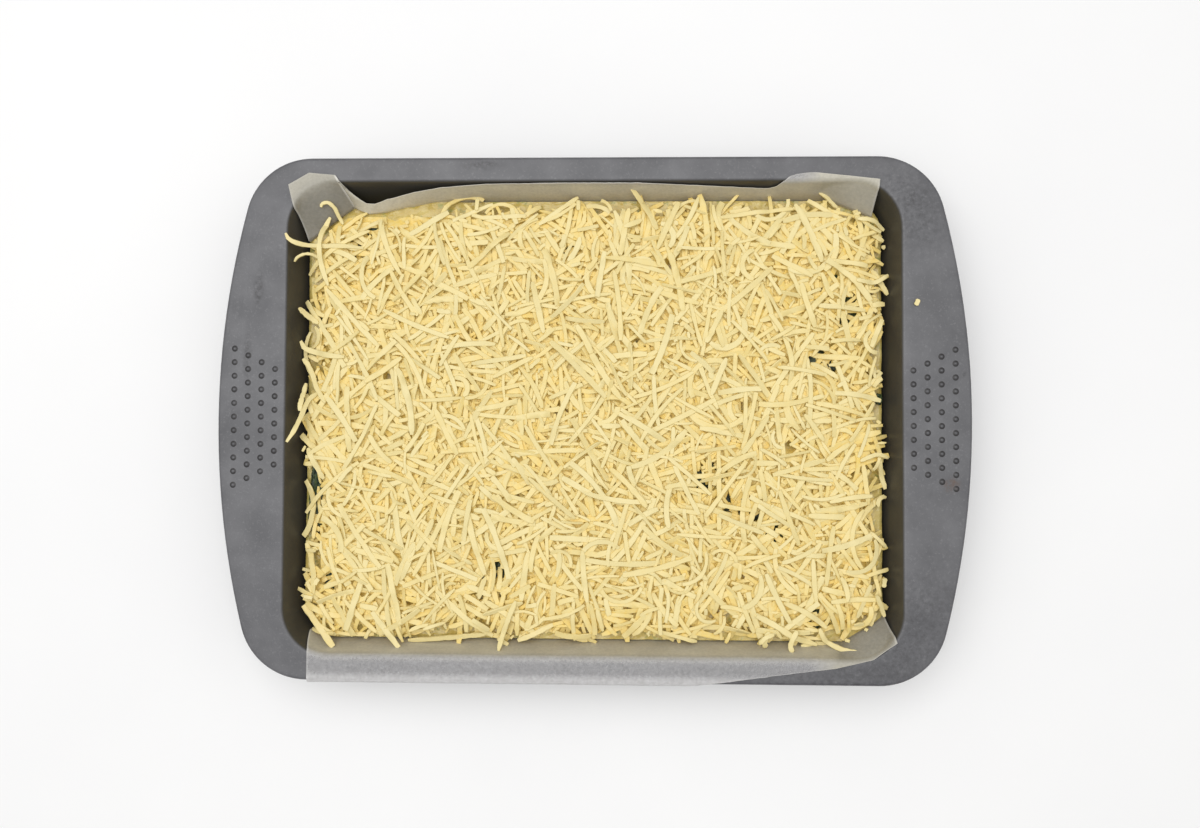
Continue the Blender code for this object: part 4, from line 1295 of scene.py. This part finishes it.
class Heap:
    # the height map, and the shreds' meshes as they are dropped

    def __init__(self):
        self.cell = cheeseHeap["cell"]
        self.reachX, self.reachY = cheeseHeap["reach"]
        self.heights = startHeights()
        self.chance = np.random.default_rng(cheeseHeap["seed"])

    def cellsAt(self, x, y):
        columns = np.clip(((x + self.reachX) / self.cell).astype(int), 0, self.heights.shape[1] - 1)
        rows = np.clip(((y + self.reachY) / self.cell).astype(int), 0, self.heights.shape[0] - 1)
        return rows, columns

    def footprint(self, line, width):
        # places across a shred at each of its points
        ahead = np.gradient(line, axis=0)
        ahead /= np.linalg.norm(ahead, axis=1)[:, None] + 1e-12
        across = np.stack([-ahead[:, 1], ahead[:, 0]], axis=1)
        offsets = np.linspace(-0.5, 0.5, 5)[None, :, None] * width
        return line[:, None, :] + across[:, None, :] * offsets, across

    def lowness(self, line):
        rows, columns = self.cellsAt(line[:, 0], line[:, 1])
        return self.heights[rows, columns].mean()

    def drop(self, line, width, thickness, tip, least=0):
        # lays a shred on the heap, at least so high, and returns its mesh rings
        places, across = self.footprint(line, width * 0.8)
        rows, columns = self.cellsAt(places[..., 0], places[..., 1])
        support = np.sort(self.heights[rows, columns], axis=1)[:, -2]
        travelled = np.concatenate([[0], np.cumsum(np.hypot(*np.diff(line, axis=0).T))])
        apart = travelled[:, None] - travelled[None, :]
        rest = np.maximum(least, (support[None, :] - cheeseHeap["droop"] * apart ** 2).max(axis=1))
        level = rest[:, None] + thickness * cheeseHeap["press"]
        self.heights[rows, columns] = np.maximum(self.heights[rows, columns], level)
        keep = slice(None, None, cheeseHeap["samplesPerStep"])
        return self.shredRings(line[keep], across[keep], rest[keep] + thickness / 2, width, thickness, tip)

    def shredRings(self, line, across, level, width, thickness, tip):
        # six-sided rings: flat faces with bevelled, slightly ragged edges
        chance = self.chance
        count = len(line)
        share = np.linspace(0, 1, count)
        ends = np.minimum(share, 1 - share) * 2
        taper = tip + (1 - tip) * np.minimum(1, ends * 4) ** 0.6
        wide = width / 2 * taper * (1 + 0.07 * chance.standard_normal(count))
        tall = thickness / 2 * np.minimum(1, 0.6 + ends * 2)
        roll = chance.normal(0, 0.25) + chance.normal(0, 0.35) * (share - 0.5)
        sideX = across[:, 0] * np.cos(roll)
        sideY = across[:, 1] * np.cos(roll)
        sideZ = np.sin(roll)
        section = np.array([(-1, 0.35), (-0.84, 1), (0.84, 1), (1, 0.35), (0.8, -1), (-0.8, -1)])
        rings = np.zeros((count, len(section), 3))
        for index, (u, v) in enumerate(section):
            jag = 1 + 0.05 * chance.standard_normal(count)
            for axis, sideways in ((0, sideX), (1, sideY)):
                rings[:, index, axis] = (line[:, axis] + sideways * wide * u * jag
                                         - across[:, axis] * np.sin(roll) * tall * v)
            rings[:, index, 2] = level + sideZ * wide * u * jag + np.cos(roll) * tall * v
        rings[..., 2] = np.minimum(rings[..., 2], cadHigh.z - 0.1 * mm)
        return rings


def bowedLine(centre, heading, bow, length, count):
    # a shred's middle line in plan, its heading turning by bow from end to end
    share = np.linspace(-0.5, 0.5, count)
    turn = heading + bow * share
    steps = np.stack([np.cos(turn), np.sin(turn)], axis=1) * length / (count - 1)
    line = np.cumsum(steps, axis=0)
    return line - line.mean(axis=0) + centre


def fits(line, mayCover, poke):
    # whether a shred keeps inside the heap's edge and off the leaf pieces
    for x, y in line[::4]:
        if heapLimit(x, y) < -poke:
            return False
        if not mayCover and (leafShare(x, y) < 1.05 or baldShare(x, y) > 0.3):
            return False
    x, y = line[-1]
    return heapLimit(x, y) >= -poke


def shredMesh(name, shreds, material):
    # all shreds of one kind in one mesh, each with its own tone and painted shade
    points = []
    faces = []
    tones = []
    for rings, tone in shreds:
        count, around, _ = rings.shape
        start = len(tones)
        points.append(rings.reshape(-1, 3))
        faces += [face[::-1] for face in ringFaces(count, around, start)]
        faces.append(tuple(start + index for index in range(around)))
        faces.append(tuple(start + count * around - 1 - index for index in range(around)))
        tones += [tone] * (count * around)
    piece = meshPiece(name, np.concatenate(points), faces, material, cheeseHeap["sharpAngle"])
    addMask(piece, "shredShadeAndTone", tones)
    settle(piece, "grated_cheese")


def lowestPlace(heap, length, bow, count, mayCover, poke):
    # tries a few places for a shred, and keeps the lowest that fits
    chance = heap.chance
    best = None
    lowest = math.inf
    for _ in range(cheeseHeap["candidates"]):
        centre = np.array((chance.uniform(-1, 1) * cheeseHeap["halfLength"],
                           chance.uniform(-1, 1) * cheeseHeap["halfWidth"]))
        line = bowedLine(centre, chance.uniform(0, 2 * math.pi), bow, length, count)
        if not fits(line, mayCover, poke):
            continue
        shy = max(0, cheeseHeap["edgeBand"] - heapLimit(*centre))
        low = heap.lowness(line) + cheeseHeap["edgeShy"] * shy
        if low < lowest:
            lowest = low
            best = line
    return best


def dropShred(heap, values, late):
    # one shred of a kind, or None where it finds no place; earlier, lower shreds get more painted shade and
    # later ones are paler
    chance = heap.chance
    count = values["steps"] * cheeseHeap["samplesPerStep"] + 1
    length = chance.uniform(*values["length"]) * mm
    bow = chance.normal(0, values["bow"] * cheeseHeap["bowSpread"])
    if chance.random() < cheeseHeap["curled"]:
        bow = chance.choice((-1, 1)) * chance.uniform(*cheeseHeap["curl"])
    mayCover = chance.random() < cheeseHeap["overLeaf"]
    poke = chance.uniform(0, cheeseHeap["pokeReach"]) if chance.random() < cheeseHeap["pokeOut"] else 0
    line = lowestPlace(heap, length, bow, count, mayCover, poke)
    if line is None:
        return None
    width = chance.uniform(*values["width"]) * mm
    thickness = chance.uniform(*values["thickness"]) * mm
    rings = heap.drop(line, width, thickness, chance.uniform(*cheeseHeap["tip"]))
    shadeByOrder, byChance = cheeseHeap["shadeAndTone"]
    return rings, shadeByOrder * ease(0.3, 0.95, late) + byChance * chance.random()


def dropCheese(material):
    heap = Heap()
    order = [kind for kind, values in shredKinds.items() for _ in range(values["count"])]
    heap.chance.shuffle(order)
    made = {kind: [] for kind in shredKinds}
    for place, kind in enumerate(order):
        shred = dropShred(heap, shredKinds[kind], place / len(order))
        if shred:
            made[kind].append(shred)
    strays = []
    for route, width in strayShreds:
        line = smoothLine(np.array(route) * mm, cheeseHeap["straySteps"] * cheeseHeap["samplesPerStep"] + 1)
        rings = heap.drop(line[:, :2], width * mm, cheeseHeap["strayThickness"],
                          cheeseHeap["strayTip"], line[:, 2])
        strays.append((rings, cheeseHeap["strayTone"]))
    for kind, shreds in made.items():
        shredMesh(kind, shreds, material)
    shredMesh("strayShreds", strays, material)
    print("cheese shreds dropped:", {kind: len(shreds) for kind, shreds in made.items()})


cheeseLook = {
    # deep and warm: painted shade colours of the gaps, for the lower shreds and the core; pale: the top
    # shreds
    "deepShade": (0.79, 0.575, 0.155, 1),
    "warm": (0.77, 0.61, 0.24, 1),
    "pale": (0.75, 0.645, 0.335, 1),
    "roughness": 0.5,
    "paintedGlow": (0.95, 0.76, 0.14, 1),       # painted glow that stands in for light coming through the shreds
    "paintedGlowStrength": 0.05,
}


def newCheese(name):
    # the cheese glows faintly: painted light in place of light through the shreds
    return newMaterial(name, cheeseLook["roughness"], Emission_Color=cheeseLook["paintedGlow"],
                       Emission_Strength=cheeseLook["paintedGlowStrength"])


def makeCheeseMaterial():
    material, tree, shader = newCheese("gratedCheese")
    cloud = addTone(tree, 260.0, 0.4, 0.6, cheeseLook["deepShade"], cheeseLook["warm"])
    # lower shreds toward the painted shade colours, upper ones pale
    colour = mixColours(tree, readMask(tree, "shredShadeAndTone"), cloud.outputs["Colour"], cheeseLook["pale"])
    tree.links.new(colour, shader.inputs["Base Color"])
    addGrain(tree, shader, 900.0, 0.6, 0.35, 0.2 * mm)
    return material


def makeCoreMaterial():
    # the core is coloured as cheese in painted shade, for the gaps between shreds
    material, tree, shader = newCheese("shadedCoreCheese")
    tone = addTone(tree, 300.0, 0.4, 0.6, cheeseLook["deepShade"], cheeseLook["warm"])
    connect(tree, (tone, "Colour", shader, "Base Color"))
    addGrain(tree, shader, 400.0, 1.0, 0.6, 0.5 * mm)
    return material


cheeseMaterial = makeCheeseMaterial()
makeCore(makeCoreMaterial())
dropCheese(cheeseMaterial)
print("grated cheese made")
